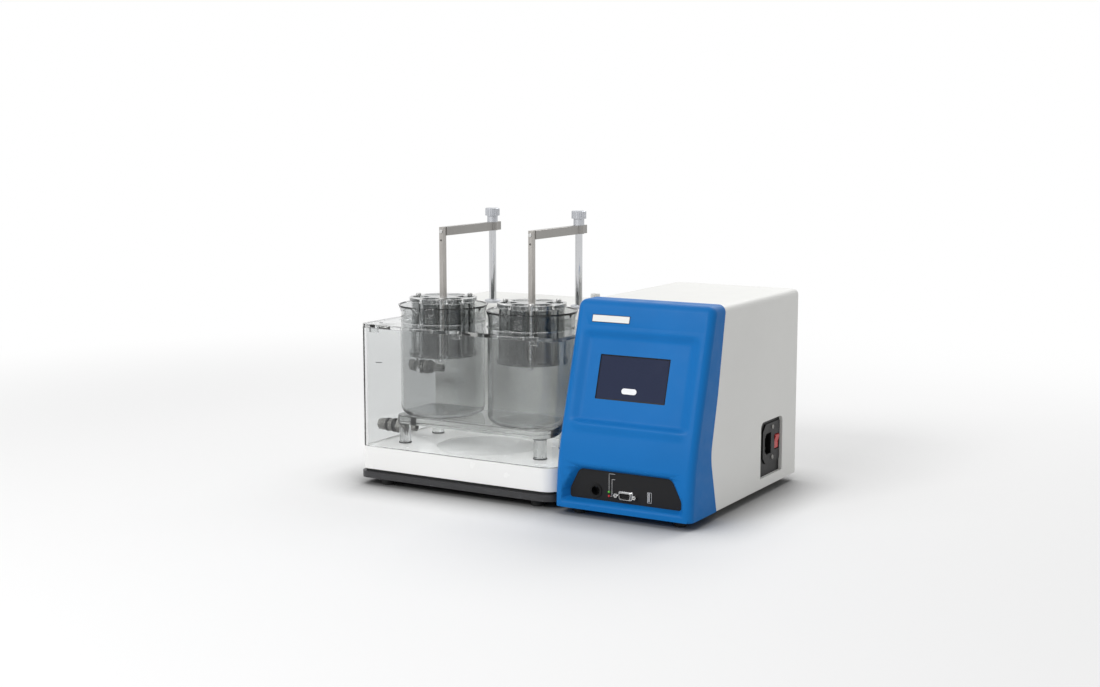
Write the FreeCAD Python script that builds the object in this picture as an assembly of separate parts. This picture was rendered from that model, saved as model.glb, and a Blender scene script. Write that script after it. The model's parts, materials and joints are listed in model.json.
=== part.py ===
"""Two-station tablet disintegration tester: heated water bath, twin basket lift and control unit.

Axes while building: X to the right from the bath's left wall, Y to the back from the bath's front
wall, Z up from the bench. Every piece is moved once, at export, so that the row's origin is the
middle of the footprint on the bench.
"""
import FreeCAD, Part
import math
import os

V = FreeCAD.Vector

# ---------------------------------------------------------------- driving dimensions (mm)
# footprint of the bath station
BATH_W = 298.0
BATH_D = 178.0
CORNER_R = 11.0
CORNER_R_RIGHT = 22.0
LEAST_CORNER_R = 0.5
FOOT_H = 9.6
FOOT_R = 9.0
FOOT_INSET_X = 33.4
FOOT_INSET_Y = 13.6
FOOT_EDGE = 1.0
FOOT_TAPER = 2.0
BASE_PLATE_T = 8.5
BASE_LIP = 2.5
BACK_CORNER_R = 1.0
GASKET_T = 3.2
GASKET_INSET = 2.0
GASKET_W = 7.0
PAN_H = 29.5
PAN_WALL = 3.0
SHEET_SCREW_R = 1.5
SCREW_CLEAR = 0.1
SCREW_HEAD_R = 3.2
SCREW_HEAD_H = 1.6
SCREW_GRIP = 14.0
FOOT_SCREW_HEAD_H = 2.0
FOOT_SCREW_STOP = 1.0

# tank and lid
TANK_WALL = 4.5
TANK_H = 157.8
TANK_SEAL_T = 0.8
TANK_SEAL_INSET = 0.5
LID_T = 5.0
LID_HOLE_GAP = 1.75
PROBE_HOLE_R = 3.0
PROBE_HOLE_X = 19.4
PROBE_HOLE_Y = 21.0
LID_BLOCK_L = 12.0
LID_BLOCK_W = 5.0
LID_BLOCK_H = 6.0
LID_BLOCK_GAP = 0.4
LID_BLOCK_LEFT = 14.0
LID_BLOCK_RIGHT = 28.0

# the two test stations; the room shares are of all the width that the beakers' rims leave free
ROOM_SHARE_LEFT = 0.1735
ROOM_SHARE_RIGHT = 0.455
STATION_Y = 89.0

# heater
HEATER_R = 65.0
HEATER_T = 1.8
HEATER_RECESS = 0.4
HEATER_LEDGE = 5.0
HEATER_FIT = 0.2
RING_HEATER_IN_R = 30.0
RING_HEATER_OUT_R = 52.0
RING_HEATER_H = 7.0

# beaker platform
PLATFORM_W = 238.0
PLATFORM_D = 98.0
PLATFORM_T = 10.5
PLATFORM_TOP_ABOVE_PAN = 37.7
PLATFORM_CORNER_R = 20.0
PLATFORM_CHAMFER = 1.0
LEG_R = 7.75
LEG_INSET_X = 14.1
LEG_INSET_Y = 10.0
PAD_R = 8.5
PAD_T = 1.6

# glass beaker
BEAKER_R = 56.75
BEAKER_WALL = 2.2
BEAKER_FLOOR = 3.0
BEAKER_RISE = 21.6
BEAKER_FLARE = 3.25
BEAKER_FLARE_H = 9.0
BEAKER_FOOT_R = 12.0
SPOUT_DROP = 15.0
SPOUT_REACH = 5.0
SPOUT_R = 13.0
SPOUT_SINK = 3.0

# basket
BASKET_PLATE_R = 45.0
BASKET_PLATE_T = 6.0
BASKET_H = 77.6
BASKET_LOW_GAP = 21.5
TUBE_COUNT = 6
TUBE_CIRCLE_R = 30.0
TUBE_R = 12.5
TUBE_BORE_R = 10.75
TUBE_FIRST_ANGLE = 30.0
MESH_R = 42.5
MESH_T = 0.8
TIE_COUNT = 3
TIE_CIRCLE_R = 40.0
TIE_R = 1.75
TIE_NUT_R = 3.4
TIE_NUT_H = 2.6
TIE_FIRST_ANGLE = 60.0

# hanger, arm, knob, rod
HANGER_W = 6.0
HANGER_D = 8.0
HANGER_RISE = 92.9
HANGER_HOLE_R = 1.3
HANGER_HOLE_DROP = 6.0
ARM_H = 11.5
ARM_W = 8.0
ARM_TAIL = 16.0
ARM_SCREW_GRIP = 12.0
ARM_SCREW_HEAD_R = 2.4
ARM_SCREW_HEAD_H = 1.0
HUB_R = 7.3
ROD_R = 5.0
ROD_FIT = 0.05
ROD_FOOT_GAP = 2.9
ROD_TAP_R = 3.0
ROD_TAP_CLEAR = 0.3
ROD_TAP_DEPTH = 20.0
HUB_SOCKET = 7.0
KNOB_NECK_R = 7.3
KNOB_NECK_H = 9.0
KNOB_HEAD_R = 10.0
KNOB_HEAD_H = 10.5
KNOB_SHANK_R = 2.9
KNOB_SHANK_L = 18.0
KNOB_EDGE = 1.0
KNURL_COUNT = 20
KNURL_R = 0.9

# drive
STROKE = 55.0
CROSSHEAD_W = 174.0
CROSSHEAD_T = 16.0
CROSSHEAD_H = 42.0
CROSSHEAD_GAP = 4.0
CROSSHEAD_CORNER_R = 6.0
SLOT_CORNER_R = 3.0
ROLLER_R = 6.0
ROLLER_PIN_R = 3.0
YOKE_SLACK = 6.3
YOKE_END_SLACK = 1.0
CRANK_R = 40.0
CRANK_T = 8.0
CRANK_GAP = 2.0
CRANK_HOLE_R = 9.0
CRANK_HOLE_X = 22.0
CRANK_BOSS_T = 5.0
BOSS_GAP = 1.0
WALL_GAP = 8.0
PIN_HEAD_R = 5.0
PIN_HEAD_T = 2.5
ROLLER_STAND = 1.0
SHAFT_DEPTH = 20.0
SHAFT_END_GAP = 1.0
SHAFT_R = 6.0
SHAFT_FIT = 0.05
BEARING_R = 14.0
FRAME_PLATE_T = 5.0
FRAME_FOOT_T = 4.0
FRAME_WEB_T = 4.0
FRAME_REACH = 16.0
FRAME_TAIL_GAP = 40.0
GUIDE_SHELF_T = 8.0
GUIDE_SHELF_RISE = 10.0
TOP_SHELF_T = 4.0
FRAME_SIDE_GAP = 3.0
GEARBOX_W = 62.0
GEARBOX_D = 32.0
GEARBOX_CORNER_R = 5.0
MOTOR_R = 25.0
MOTOR_L = 46.0
MOTOR_CAP_STEP = 4.0
MOTOR_CAP_T = 3.0
BUSH_R = 8.0
BUSH_FLANGE_R = 11.0
BUSH_FLANGE_H = 4.0
BUSH_L = 20.0
BUSH_CHAMFER = 0.8
BUSH_GAP = 7.0

# rear housing
HOUSING_LEFT_X = -13.0
HOUSING_GAP = 5.0
HOUSING_D = 145.0
ROD_SETBACK = 29.0
HOUSING_WALL = 3.0
HOUSING_R = 6.0
HOUSING_TOP_R = 3.0
BACK_COVER_T = 3.0
COVER_SCREW_INSET = 14.0
COVER_SLOT_X = 60.0
COVER_SLOT_HALF = 26.0
COVER_SLOT_ROWS = 7
SLOT_PITCH = 8.0
SLOT_H = 3.0
SLOT_END_SHARE = 0.96
BOSS_R = 5.0
BOSS_L = 20.0
BOSS_RIB_T = 3.0
PORT_CAP_FROM_ROD = 38.0
PORT_CAP_X = 216.0
PORT_CAP_R = 6.5
PORT_CAP_H = 16.5
PORT_CAP_NECK_H = 6.0
PORT_CAP_EDGE = 1.0

# hose fittings through the bath's left wall: (y, height above the pan)
FITTING_PLACES = ((143.4, 88.2), (78.5, 15.2))
FITTING_OUT = 27.0
FITTING_IN = 36.0
FITTING_THREAD_R = 7.0
FITTING_THREAD_L = 15.0
FITTING_NOSE_ACROSS = 14.0
FITTING_NOSE_L = 5.0
FITTING_COLLAR_R = 8.2
FITTING_COLLAR_L = 8.0
FITTING_RING_R = 9.0
FITTING_RING_L = 4.4
FITTING_FLANGE_R = 8.6
FITTING_FLANGE_L = 6.6
FITTING_DISC_R = 9.4
FITTING_DISC_T = 3.0
FITTING_INNER_RING_T = 2.0
FITTING_NOZZLE_R = 5.0
FITTING_NUT_ACROSS = 18.0
FITTING_NUT_T = 7.0
FITTING_LOCK_GAP = 1.5
FITTING_LOCK_T = 2.5
FITTING_JOINT = 0.5
FITTING_FIT = 0.2
HOSE_BORE_R = 4.05
HOSE_BORE_L = 15.0
FITTING_BORE_R = 2.6

# control unit
UNIT_GAP = 5.1
UNIT_W = 186.0
UNIT_TOP_Z = 260.0
UNIT_BOTTOM_Z = 10.0
UNIT_FRONT_Y = -12.0
UNIT_BACK_Y = 313.0
FACE_SLOPE = 0.2963
FACE_KNEE_Z = 59.6
KNEE_R = 310.0
BEZEL_WALL = 3.0
BEZEL_TOP_R = 12.0
BEZEL_SIDE_R = 10.0
PARTING_TOP_Y = 80.05
PARTING_BEND_Y = 60.0
PARTING_BEND_Z = 154.0
PARTING_BEND_R = 150.0
PARTING_WAIST_Y = 41.7
PARTING_WAIST_Z = 80.6
PARTING_WAIST_R = 60.0
PARTING_FOOT_Y = 60.2
CUT_MARGIN = 5.0
CASE_INSET = 1.0
CASE_STEP = 2.0
CASE_WALL = 2.5
CASE_R = 8.0
CASE_FRONT_Y = 30.0
TRAY_T = 2.0
TRAY_FLANGE_H = 11.0
TRAY_FRONT_Y = 64.0
BEZEL_BACK_Y = 140.0
UNIT_FOOT_R = 8.5
UNIT_FOOT_INSET = 24.0
UNIT_FRONT_FOOT_Y = 11.0
PANEL_SCREW_INSET = 14.0
PANEL_SCREW_LOW = 12.0
PANEL_SCREW_GRIP = 8.0
PANEL_SLOT_DROP = 60.0
PANEL_SLOT_HALF = 45.0
PANEL_SLOT_ROWS = 8

# screen and its pocket, measured along the leaning face
SCREEN_W = 95.0
SCREEN_H = 55.3
SCREEN_MID_Z = 170.5
SCREEN_OFFSET_X = -4.4
SCREEN_GLASS_T = 2.0
SCREEN_RIM = 3.0
POCKET_W = 160.0
POCKET_LOW_Z = 116.0
POCKET_HIGH_Z = 222.0
POCKET_DEPTH = 2.6
POCKET_SLOPE = 7.0
POCKET_R = 10.0
POCKET_MOUTH_R = 16.0
POCKET_SKIN = 2.4
POCKET_RISE = 0.6
SCREEN_LIP_T = 2.0
SCREEN_FRAME = 10.0
SCREEN_FRAME_T = 8.0
SCREEN_FRAME_R = 4.0
SCREEN_FIT = 0.2
WINDOW_CORNER_R = 1.0
GLASS_CORNER_R = 2.0
DISPLAY_T = 6.0
DISPLAY_INSET = 2.0

# connector panel
PANEL_W = 150.6
PANEL_TOP_W = 124.8
PANEL_LOW_Z = 21.5
PANEL_H = 37.0
PANEL_KNEE = 11.0
PANEL_FOOT_R = 3.0
PANEL_KNEE_R = 12.0
PANEL_TOP_R = 10.0
PANEL_T = 2.5
PANEL_Y = -1.0
PANEL_MOUTH = 8.0
PANEL_MOUTH_RISE = 2.0
PANEL_LEDGE = 3.0
PANEL_FIT = 0.1
PANEL_BACKING_LAP = 0.6
PANEL_BACKING_T = 3.0
SENSOR_SOCKET_X = -39.6
SENSOR_SOCKET_Z = 33.1
SENSOR_SOCKET_R = 7.0
SENSOR_SOCKET_L = 12.0
SENSOR_FLANGE_W = 1.2
SENSOR_WELL_WALL = 1.4
SENSOR_WELL_L = 9.0
SENSOR_KEY_W = 2.0
SENSOR_KEY_H = 1.6
SENSOR_KEY_ROOT = 0.4
SERIAL_X = 1.9
SERIAL_Z = 31.0
SERIAL_W = 16.9
SERIAL_H = 8.4
SERIAL_STAND = 5.0
SERIAL_DEPTH = 8.0
SERIAL_SHELL_T = 0.5
SERIAL_SINK = 3.0
SERIAL_SLANT = 1.6
SERIAL_CORNER_R = 2.2
PIN_PITCH = 2.77
PIN_ROW_PITCH = 2.84
PIN_HOLE_R = 0.6
JACK_SPACING = 25.0
JACK_HEX_R = 2.75
JACK_SHANK_R = 1.5
JACK_HOLE_R = 1.3
JACK_HOLE_STOP = 1.0
JACK_REACH = 3.5
USB_X = 33.5
USB_Z = 32.5
USB_W = 5.7
USB_H = 13.1
USB_STAND = 0.8
USB_DEPTH = 12.0
USB_SHELL_T = 0.5
USB_BACK_T = 2.0
USB_TONGUE_INSET = 0.95
USB_TONGUE_SIDE = 0.6
USB_TONGUE_SINK = 1.0
LAMP_X = -21.6
LAMP_Z = 33.3
LAMP_SPACING = 5.1
LAMP_R = 1.5
LAMP_L = 6.0

# power entry on the right side
ENTRY_Y = 196.0
ENTRY_W = 71.0
ENTRY_Z = 23.0
ENTRY_H = 73.0
ENTRY_DEPTH = 5.5
ENTRY_R = 8.0
ENTRY_LOW_R = 1.0
ENTRY_SLEEVE_T = 2.0
ENTRY_PLATE_T = 2.0
MODULE_INSET_Y = 13.0
MODULE_INSET_Z = 15.5
MODULE_W = 55.0
MODULE_H = 52.0
MODULE_T = 1.8
MODULE_CUT = 9.0
MODULE_WALL = 2.0
MODULE_R = 1.0
MODULE_REAR_R = 2.0
MODULE_BODY_DEPTH = 20.0
INLET_FROM_EDGE = 16.5
INLET_ABOVE_EDGE = 25.7
INLET_W = 20.0
INLET_H = 27.5
INLET_CUT = 5.0
INLET_DEPTH = 16.0
INLET_PIN_L = 11.0
INLET_PIN_W = 4.0
INLET_PIN_T = 2.0
INLET_PIN_PITCH = 7.0
EARTH_PIN_OFFSET = 4.5
OUTER_PIN_OFFSET = 2.0
ENTRY_SCREW_FROM_EDGE = 31.0
ENTRY_SCREW_REACH = 20.0
ENTRY_SCREW_HEAD_R = 2.8
ENTRY_SCREW_HEAD_H = 1.2
ENTRY_SCREW_GRIP = 6.0
ROCKER_FROM_EDGE = 45.5
ROCKER_DROP = 1.2
ROCKER_W = 13.0
ROCKER_R = 9.6
ROCKER_TILT = 8.0
ROCKER_GAP = 0.5
ROCKER_WELL_L = 14.0
ROCKER_SINK = 2.0
ROCKER_BACK = 2.5
ROCKER_TIP = 4.6
ROCKER_WAIST = 3.2
ROCKER_TIP_R = 0.8
ROCKER_DISH_R = 20.0
ROCKER_PIN_R = 1.2
ROCKER_PIN_FIT = 0.05
ROCKER_PIN_REACH = 1.0

# parts inside the control unit
BOARD_T = 2.0
BOARD_Y = 92.0
BOARD_INSET = 20.0
BOARD_TOP_Z = 190.0
SUPPLY_INSET = 22.0
SUPPLY_W = 100.0
SUPPLY_Y = 130.0
SUPPLY_D = 160.0
SUPPLY_H = 42.0
SUPPLY_CHAMFER = 1.5

# ties between the two housings
TIE_SPOTS = ((220.0, 60.0), (300.0, 60.0), (260.0, 190.0))
TIE_BOLT_R = 2.0
HEX_SIDES = 6
TIE_TUBE_R = 6.0
TIE_HEAD_R = 3.5
TIE_HEAD_T = 3.0
TIE_NUT_ROUND_R = 3.8
TIE_NUT_T = 3.2
CABLE_Y = 290.0
CABLE_Z = 120.0
CABLE_BUSH_R = 10.0
CABLE_BORE_R = 7.0
CABLE_FLANGE_W = 2.5
CABLE_STAND = 3.0

# ---------------------------------------------------------------- levels that follow from them
PLATE_TOP_Z = FOOT_H + BASE_PLATE_T
PAN_Z = PLATE_TOP_Z + GASKET_T
PAN_TOP_Z = PAN_Z + PAN_H
TANK_Z = PAN_TOP_Z + TANK_SEAL_T
TANK_TOP_Z = TANK_Z + TANK_H
LID_TOP_Z = TANK_TOP_Z + LID_T
PLATFORM_TOP_Z = PAN_TOP_Z + PLATFORM_TOP_ABOVE_PAN
PLATFORM_Z = PLATFORM_TOP_Z - PLATFORM_T
LID_HOLE_R = BEAKER_R + LID_HOLE_GAP
BEAKER_TOP_Z = LID_TOP_Z + BEAKER_RISE
BEAKER_RIM_R = BEAKER_R + BEAKER_FLARE
RIM_ROOM = BATH_W - 2 * TANK_WALL - 4 * BEAKER_RIM_R
LEFT_STATION_X = TANK_WALL + ROOM_SHARE_LEFT * RIM_ROOM + BEAKER_RIM_R
RIGHT_STATION_X = BATH_W - TANK_WALL - ROOM_SHARE_RIGHT * RIM_ROOM - BEAKER_RIM_R
STATION_X = (LEFT_STATION_X, RIGHT_STATION_X)
FITTING_SPOTS = tuple((y, PAN_TOP_Z + rise) for y, rise in FITTING_PLACES)
HOUSING_FRONT_Y = BATH_D + HOUSING_GAP
HOUSING_BACK_Y = HOUSING_FRONT_Y + HOUSING_D
ROD_Y = HOUSING_FRONT_Y + ROD_SETBACK
MID_X = (STATION_X[0] + STATION_X[1]) / 2
PLATFORM_X = MID_X - PLATFORM_W / 2
PLATFORM_Y = STATION_Y - PLATFORM_D / 2
BASKET_BOTTOM_Z = PLATFORM_TOP_Z + BEAKER_FLOOR + BASKET_LOW_GAP + STROKE
BASKET_TOP_Z = BASKET_BOTTOM_Z + BASKET_H
ARM_TOP_Z = BASKET_TOP_Z + HANGER_RISE
ARM_Z = ARM_TOP_Z - ARM_H
ROD_TOP_Z = ARM_Z + HUB_SOCKET
ROD_BOTTOM_Z = PLATE_TOP_Z + FRAME_FOOT_T + ROD_FOOT_GAP + STROKE
GUIDE_SHELF_Z = ROD_BOTTOM_Z + GUIDE_SHELF_RISE
CROSSHEAD_MID_Z = GUIDE_SHELF_Z + GUIDE_SHELF_T + CROSSHEAD_GAP + STROKE + CROSSHEAD_H / 2
HOUSING_TOP_Z = CROSSHEAD_MID_Z + CROSSHEAD_H / 2 + BUSH_GAP + BUSH_L
CRANK_Z = CROSSHEAD_MID_Z - STROKE / 2
FRAME_W = CROSSHEAD_W + 2 * (FRAME_WEB_T + FRAME_SIDE_GAP)
CROSSHEAD_BACK_Y = ROD_Y + CROSSHEAD_T / 2
CROSSHEAD_FRONT_Y = ROD_Y - CROSSHEAD_T / 2
CRANK_Y = CROSSHEAD_BACK_Y + CRANK_GAP
WALL_Y = CRANK_Y + CRANK_T + WALL_GAP
GEARBOX_Y = WALL_Y + FRAME_PLATE_T
TOP_SHELF_Z = HOUSING_TOP_Z - HOUSING_WALL - TOP_SHELF_T
UNIT_X = BATH_W + UNIT_GAP
UNIT_RIGHT_X = UNIT_X + UNIT_W
UNIT_MID_X = UNIT_X + UNIT_W / 2
CASE_X = UNIT_X + CASE_INSET
CASE_RIGHT_X = UNIT_RIGHT_X - CASE_INSET
CASE_TOP_Z = UNIT_TOP_Z - CASE_STEP
ENTRY_X = UNIT_RIGHT_X - ENTRY_DEPTH
MODULE_Y = ENTRY_Y + MODULE_INSET_Y
MODULE_Z = ENTRY_Z + MODULE_INSET_Z
INLET_Y = MODULE_Y + INLET_FROM_EDGE
INLET_Z = MODULE_Z + INLET_ABOVE_EDGE
ENTRY_SCREW_Y = MODULE_Y + ENTRY_SCREW_FROM_EDGE
ROCKER_X = ENTRY_X - ROCKER_SINK
ROCKER_Y = MODULE_Y + ROCKER_FROM_EDGE
ROCKER_Z = INLET_Z - ROCKER_DROP
TRAY_TOP_Z = UNIT_BOTTOM_Z + TRAY_T
PANEL_BACK_Y = PANEL_Y + PANEL_T
COVER_BACK_Y = HOUSING_BACK_Y + BACK_COVER_T
BACK_MOST_Y = COVER_BACK_Y + SCREW_HEAD_H
ORIGIN_X = (UNIT_RIGHT_X - FITTING_OUT) / 2
ORIGIN_Y = (UNIT_FRONT_Y + BACK_MOST_Y) / 2
LEAN = math.atan(FACE_SLOPE)


# ---------------------------------------------------------------- shape helpers
def box(x0, x1, y0, y1, z0, z1):
    return Part.makeBox(x1 - x0, y1 - y0, z1 - z0, V(x0, y0, z0))


def rod_x(r, x0, x1, y, z):
    return Part.makeCylinder(r, x1 - x0, V(x0, y, z), V(1, 0, 0))


def rod_y(r, x, y0, y1, z):
    return Part.makeCylinder(r, y1 - y0, V(x, y0, z), V(0, 1, 0))


def rod_z(r, x, y, z0, z1):
    return Part.makeCylinder(r, z1 - z0, V(x, y, z0), V(0, 0, 1))


def group(shapes):
    return Part.makeCompound(shapes)


def fuse(shapes):
    return shapes[0].multiFuse(shapes[1:]).removeSplitter()


def to_plane(plane, level):
    """Return the function that puts flat coordinates (a, b) in a plane at that level."""
    spots = {
        "XY": lambda a, b: V(a, b, level),
        "YZ": lambda a, b: V(level, a, b),
        "XZ": lambda a, b: V(a, level, b),
    }
    return spots[plane]


def rounded_wire(points, radii, place):
    """Close a polygon whose corners are arcs of the given radii, 0 for a sharp corner."""
    count = len(points)
    ends = []
    edges = []
    for i in range(count):
        corner = V(points[i][0], points[i][1], 0)
        back = V(points[i - 1][0], points[i - 1][1], 0) - corner
        ahead = V(points[(i + 1) % count][0], points[(i + 1) % count][1], 0) - corner
        back.normalize()
        ahead.normalize()
        half = back.getAngle(ahead) / 2
        if radii[i] == 0:
            ends.append((corner, None, corner))
            continue
        reach = radii[i] / math.tan(half)
        inward = (back + ahead).normalize()
        middle = corner + inward * (radii[i] / math.sin(half) - radii[i])
        ends.append((corner + back * reach, middle, corner + ahead * reach))
    for i in range(count):
        start, middle, stop = ends[i]
        following = ends[(i + 1) % count][0]
        if middle is not None:
            arc = Part.Arc(place(start.x, start.y), place(middle.x, middle.y), place(stop.x, stop.y))
            edges.append(arc.toShape())
        if (following - stop).Length > 1e-6:
            edges.append(Part.makeLine(place(stop.x, stop.y), place(following.x, following.y)))
    return Part.Wire(edges)


def prism(points, radii, plane, level, length):
    """Extrude a rounded polygon from its plane by the length along the plane's normal axis."""
    normal = {"XY": V(0, 0, length), "YZ": V(length, 0, 0), "XZ": V(0, length, 0)}
    wire = rounded_wire(points, radii, to_plane(plane, level))
    return Part.Face(wire).extrude(normal[plane])


def rectangle(a0, a1, b0, b1):
    return [(a0, b0), (a1, b0), (a1, b1), (a0, b1)]


def bath_block(inset, z0, z1):
    """Solid with the bath's plan outline: the front right corner is the large one."""
    small = max(CORNER_R - inset, LEAST_CORNER_R)
    large = max(CORNER_R_RIGHT - inset, LEAST_CORNER_R)
    plan = rectangle(inset, BATH_W - inset, inset, BATH_D - inset)
    return prism(plan, [small, large, small, small], "XY", z0, z1 - z0)


def hexagon(a, b, corner_r):
    """Corner points of a hexagon round a, b, with its first corner along the first axis."""
    turns = [math.tau * i / HEX_SIDES for i in range(HEX_SIDES)]
    return [(a + corner_r * math.cos(turn), b + corner_r * math.sin(turn)) for turn in turns]


def revolve(profile, at):
    """Turn an (r, z) profile about a vertical axis through at."""
    points = [V(r, 0, z) for r, z in profile]
    wire = Part.makePolygon(points + [points[0]])
    solid = Part.Face(wire).revolve(V(0, 0, 0), V(0, 0, 1), 360)
    solid.translate(at)
    return solid


def screw(at, direction, head_r, head_h, shank_r, shank_l):
    """Pan-head screw whose head stands on the point at and looks along direction."""
    outward = V(*direction)
    head = Part.makeCylinder(head_r, head_h, at, outward)
    shank = Part.makeCylinder(shank_r, shank_l, at, outward * -1)
    return head.fuse(shank).removeSplitter()


def export(name, shape):
    moved = shape.copy()
    moved.translate(V(-ORIGIN_X, -ORIGIN_Y, 0))
    moved.exportStep("parts/" + name + ".step")


# ---------------------------------------------------------------- bath station
def base_plate():
    """Bottom plate under bath and drive, with posts for the back cover's lower screws."""
    front = bath_block(-BASE_LIP, FOOT_H, PLATE_TOP_Z)
    left = HOUSING_LEFT_X - BASE_LIP
    right = BATH_W + BASE_LIP
    plan = rectangle(left, right, HOUSING_FRONT_Y - BASE_LIP, COVER_BACK_Y)
    r = HOUSING_R + BASE_LIP
    rear = prism(plan, [r, r, BACK_CORNER_R, BACK_CORNER_R], "XY", FOOT_H, BASE_PLATE_T)
    link = box(left + r, right, BATH_D, HOUSING_FRONT_Y, FOOT_H, PLATE_TOP_Z)
    plate = fuse([front, rear, link])
    for x, y in station_foot_spots():
        plate = plate.cut(rod_z(SHEET_SCREW_R + SCREW_CLEAR, x, y, FOOT_H, PLATE_TOP_Z))
    for x, z in cover_screw_spots():
        if z < CRANK_Z:
            plate = with_screw_boss(plate, x, z, PLATE_TOP_Z)
    return plate


def station_foot_spots():
    xs = (FOOT_INSET_X, BATH_W - FOOT_INSET_X)
    ys = (FOOT_INSET_Y, COVER_BACK_Y - FOOT_INSET_Y)
    return [(x, y) for x in xs for y in ys]


def unit_foot_spots():
    xs = (UNIT_X + UNIT_FOOT_INSET, UNIT_RIGHT_X - UNIT_FOOT_INSET)
    ys = (UNIT_FRONT_FOOT_Y, UNIT_BACK_Y - UNIT_FOOT_INSET)
    return [(x, y) for x in xs for y in ys]


def foot(x, y, radius, height):
    """Rubber foot, tapered to the bench, with a counterbore for its screw head."""
    bore = SHEET_SCREW_R + SCREW_CLEAR
    seat = SCREW_HEAD_R + SCREW_CLEAR
    recess = height / 2
    profile = [
        (seat, 0), (radius - FOOT_TAPER, 0), (radius - FOOT_EDGE, FOOT_EDGE), (radius, height - FOOT_EDGE),
        (radius, height), (bore, height), (bore, recess), (seat, recess),
    ]
    return revolve(profile, V(x, y, 0))


def rubber_feet():
    station = [foot(x, y, FOOT_R, FOOT_H) for x, y in station_foot_spots()]
    unit = [foot(x, y, UNIT_FOOT_R, UNIT_BOTTOM_Z) for x, y in unit_foot_spots()]
    return group(station + unit)


def foot_screws(spots, height, grip):
    screws = []
    for x, y in spots:
        at = V(x, y, height / 2)
        length = height / 2 + grip
        screws.append(screw(at, (0, 0, -1), SCREW_HEAD_R, FOOT_SCREW_HEAD_H, SHEET_SCREW_R, length))
    return screws


def sheet_screws():
    """All the housings' like screws: under the feet, on both backs and at the power entry."""
    station = foot_screws(station_foot_spots(), FOOT_H, BASE_PLATE_T - FOOT_SCREW_STOP)
    unit = foot_screws(unit_foot_spots(), UNIT_BOTTOM_Z, TRAY_T)
    return group(station + unit + back_cover_screws() + back_panel_screws() + power_entry_screws())


def base_gasket():
    outer = bath_block(GASKET_INSET, PLATE_TOP_Z, PAN_Z)
    inner = bath_block(GASKET_INSET + GASKET_W, PLATE_TOP_Z, PAN_Z)
    return outer.cut(inner)


def base_pan():
    """White pan, open below, whose top is the floor of the bath and holds the heater plate."""
    pan = bath_block(0, PAN_Z, PAN_TOP_Z)
    pan = pan.cut(bath_block(PAN_WALL, PAN_Z, PAN_TOP_Z - PAN_WALL))
    seat_z = PAN_TOP_Z - HEATER_RECESS - HEATER_T
    pan = pan.cut(rod_z(HEATER_R + HEATER_FIT, MID_X, STATION_Y, seat_z, PAN_TOP_Z))
    return pan.cut(rod_z(HEATER_R - HEATER_LEDGE, MID_X, STATION_Y, PAN_Z, PAN_TOP_Z))


def heater_plate():
    top = PAN_TOP_Z - HEATER_RECESS
    return rod_z(HEATER_R, MID_X, STATION_Y, top - HEATER_T, top)


def ring_heater():
    top = PAN_TOP_Z - HEATER_RECESS - HEATER_T
    ring = rod_z(RING_HEATER_OUT_R, MID_X, STATION_Y, top - RING_HEATER_H, top)
    return ring.cut(rod_z(RING_HEATER_IN_R, MID_X, STATION_Y, top - RING_HEATER_H, top))


def tank_seal():
    outer = bath_block(TANK_SEAL_INSET, PAN_TOP_Z, TANK_Z)
    return outer.cut(bath_block(TANK_WALL - TANK_SEAL_INSET, PAN_TOP_Z, TANK_Z))


def bath_seals():
    return group([base_gasket(), tank_seal()])


def bath_tank():
    tank = bath_block(0, TANK_Z, TANK_TOP_Z).cut(bath_block(TANK_WALL, TANK_Z, TANK_TOP_Z))
    for y, z in FITTING_SPOTS:
        tank = tank.cut(rod_x(FITTING_THREAD_R + FITTING_FIT, 0, TANK_WALL, y, z))
    return tank


def tank_lid():
    lid = bath_block(0, TANK_TOP_Z, LID_TOP_Z)
    for x in STATION_X:
        lid = lid.cut(rod_z(LID_HOLE_R, x, STATION_Y, TANK_TOP_Z, LID_TOP_Z))
    lid = lid.cut(rod_z(PROBE_HOLE_R, PROBE_HOLE_X, PROBE_HOLE_Y, TANK_TOP_Z, LID_TOP_Z))
    return fuse([lid] + lid_blocks())


def lid_blocks():
    """Small blocks bonded under the lid that keep it in place inside the tank's walls."""
    near = TANK_WALL + LID_BLOCK_GAP
    blocks = []
    xs = (LID_BLOCK_LEFT, (BATH_W - LID_BLOCK_L) / 2, BATH_W - LID_BLOCK_RIGHT - LID_BLOCK_L)
    for x in xs:
        for y in (near, BATH_D - near - LID_BLOCK_W):
            blocks.append(box(x, x + LID_BLOCK_L, y, y + LID_BLOCK_W, TANK_TOP_Z - LID_BLOCK_H, TANK_TOP_Z))
    return blocks


def leg_spots():
    xs = (PLATFORM_X + LEG_INSET_X, PLATFORM_X + PLATFORM_W - LEG_INSET_X)
    ys = (PLATFORM_Y + LEG_INSET_Y, PLATFORM_Y + PLATFORM_D - LEG_INSET_Y)
    return [(x, y) for x in xs for y in ys]


def platform_plate():
    plan = rectangle(PLATFORM_X, PLATFORM_X + PLATFORM_W, PLATFORM_Y, PLATFORM_Y + PLATFORM_D)
    plate = prism(plan, [PLATFORM_CORNER_R] * 4, "XY", PLATFORM_Z, PLATFORM_T)
    rims = [edge for edge in plate.Edges if abs(edge.CenterOfMass.z - PLATFORM_TOP_Z) < 0.01]
    return plate.makeChamfer(PLATFORM_CHAMFER, rims)


def leg_discs(radius, z0, z1):
    return [rod_z(radius, x, y, z0, z1) for x, y in leg_spots()]


def platform_legs():
    return group(leg_discs(LEG_R, PAN_TOP_Z + PAD_T, PLATFORM_Z - PAD_T))


def leg_rings():
    """Rubber discs under the legs and between the legs and the plate."""
    low = leg_discs(PAD_R, PAN_TOP_Z, PAN_TOP_Z + PAD_T)
    return group(low + leg_discs(PAD_R, PLATFORM_Z - PAD_T, PLATFORM_Z))


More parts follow.
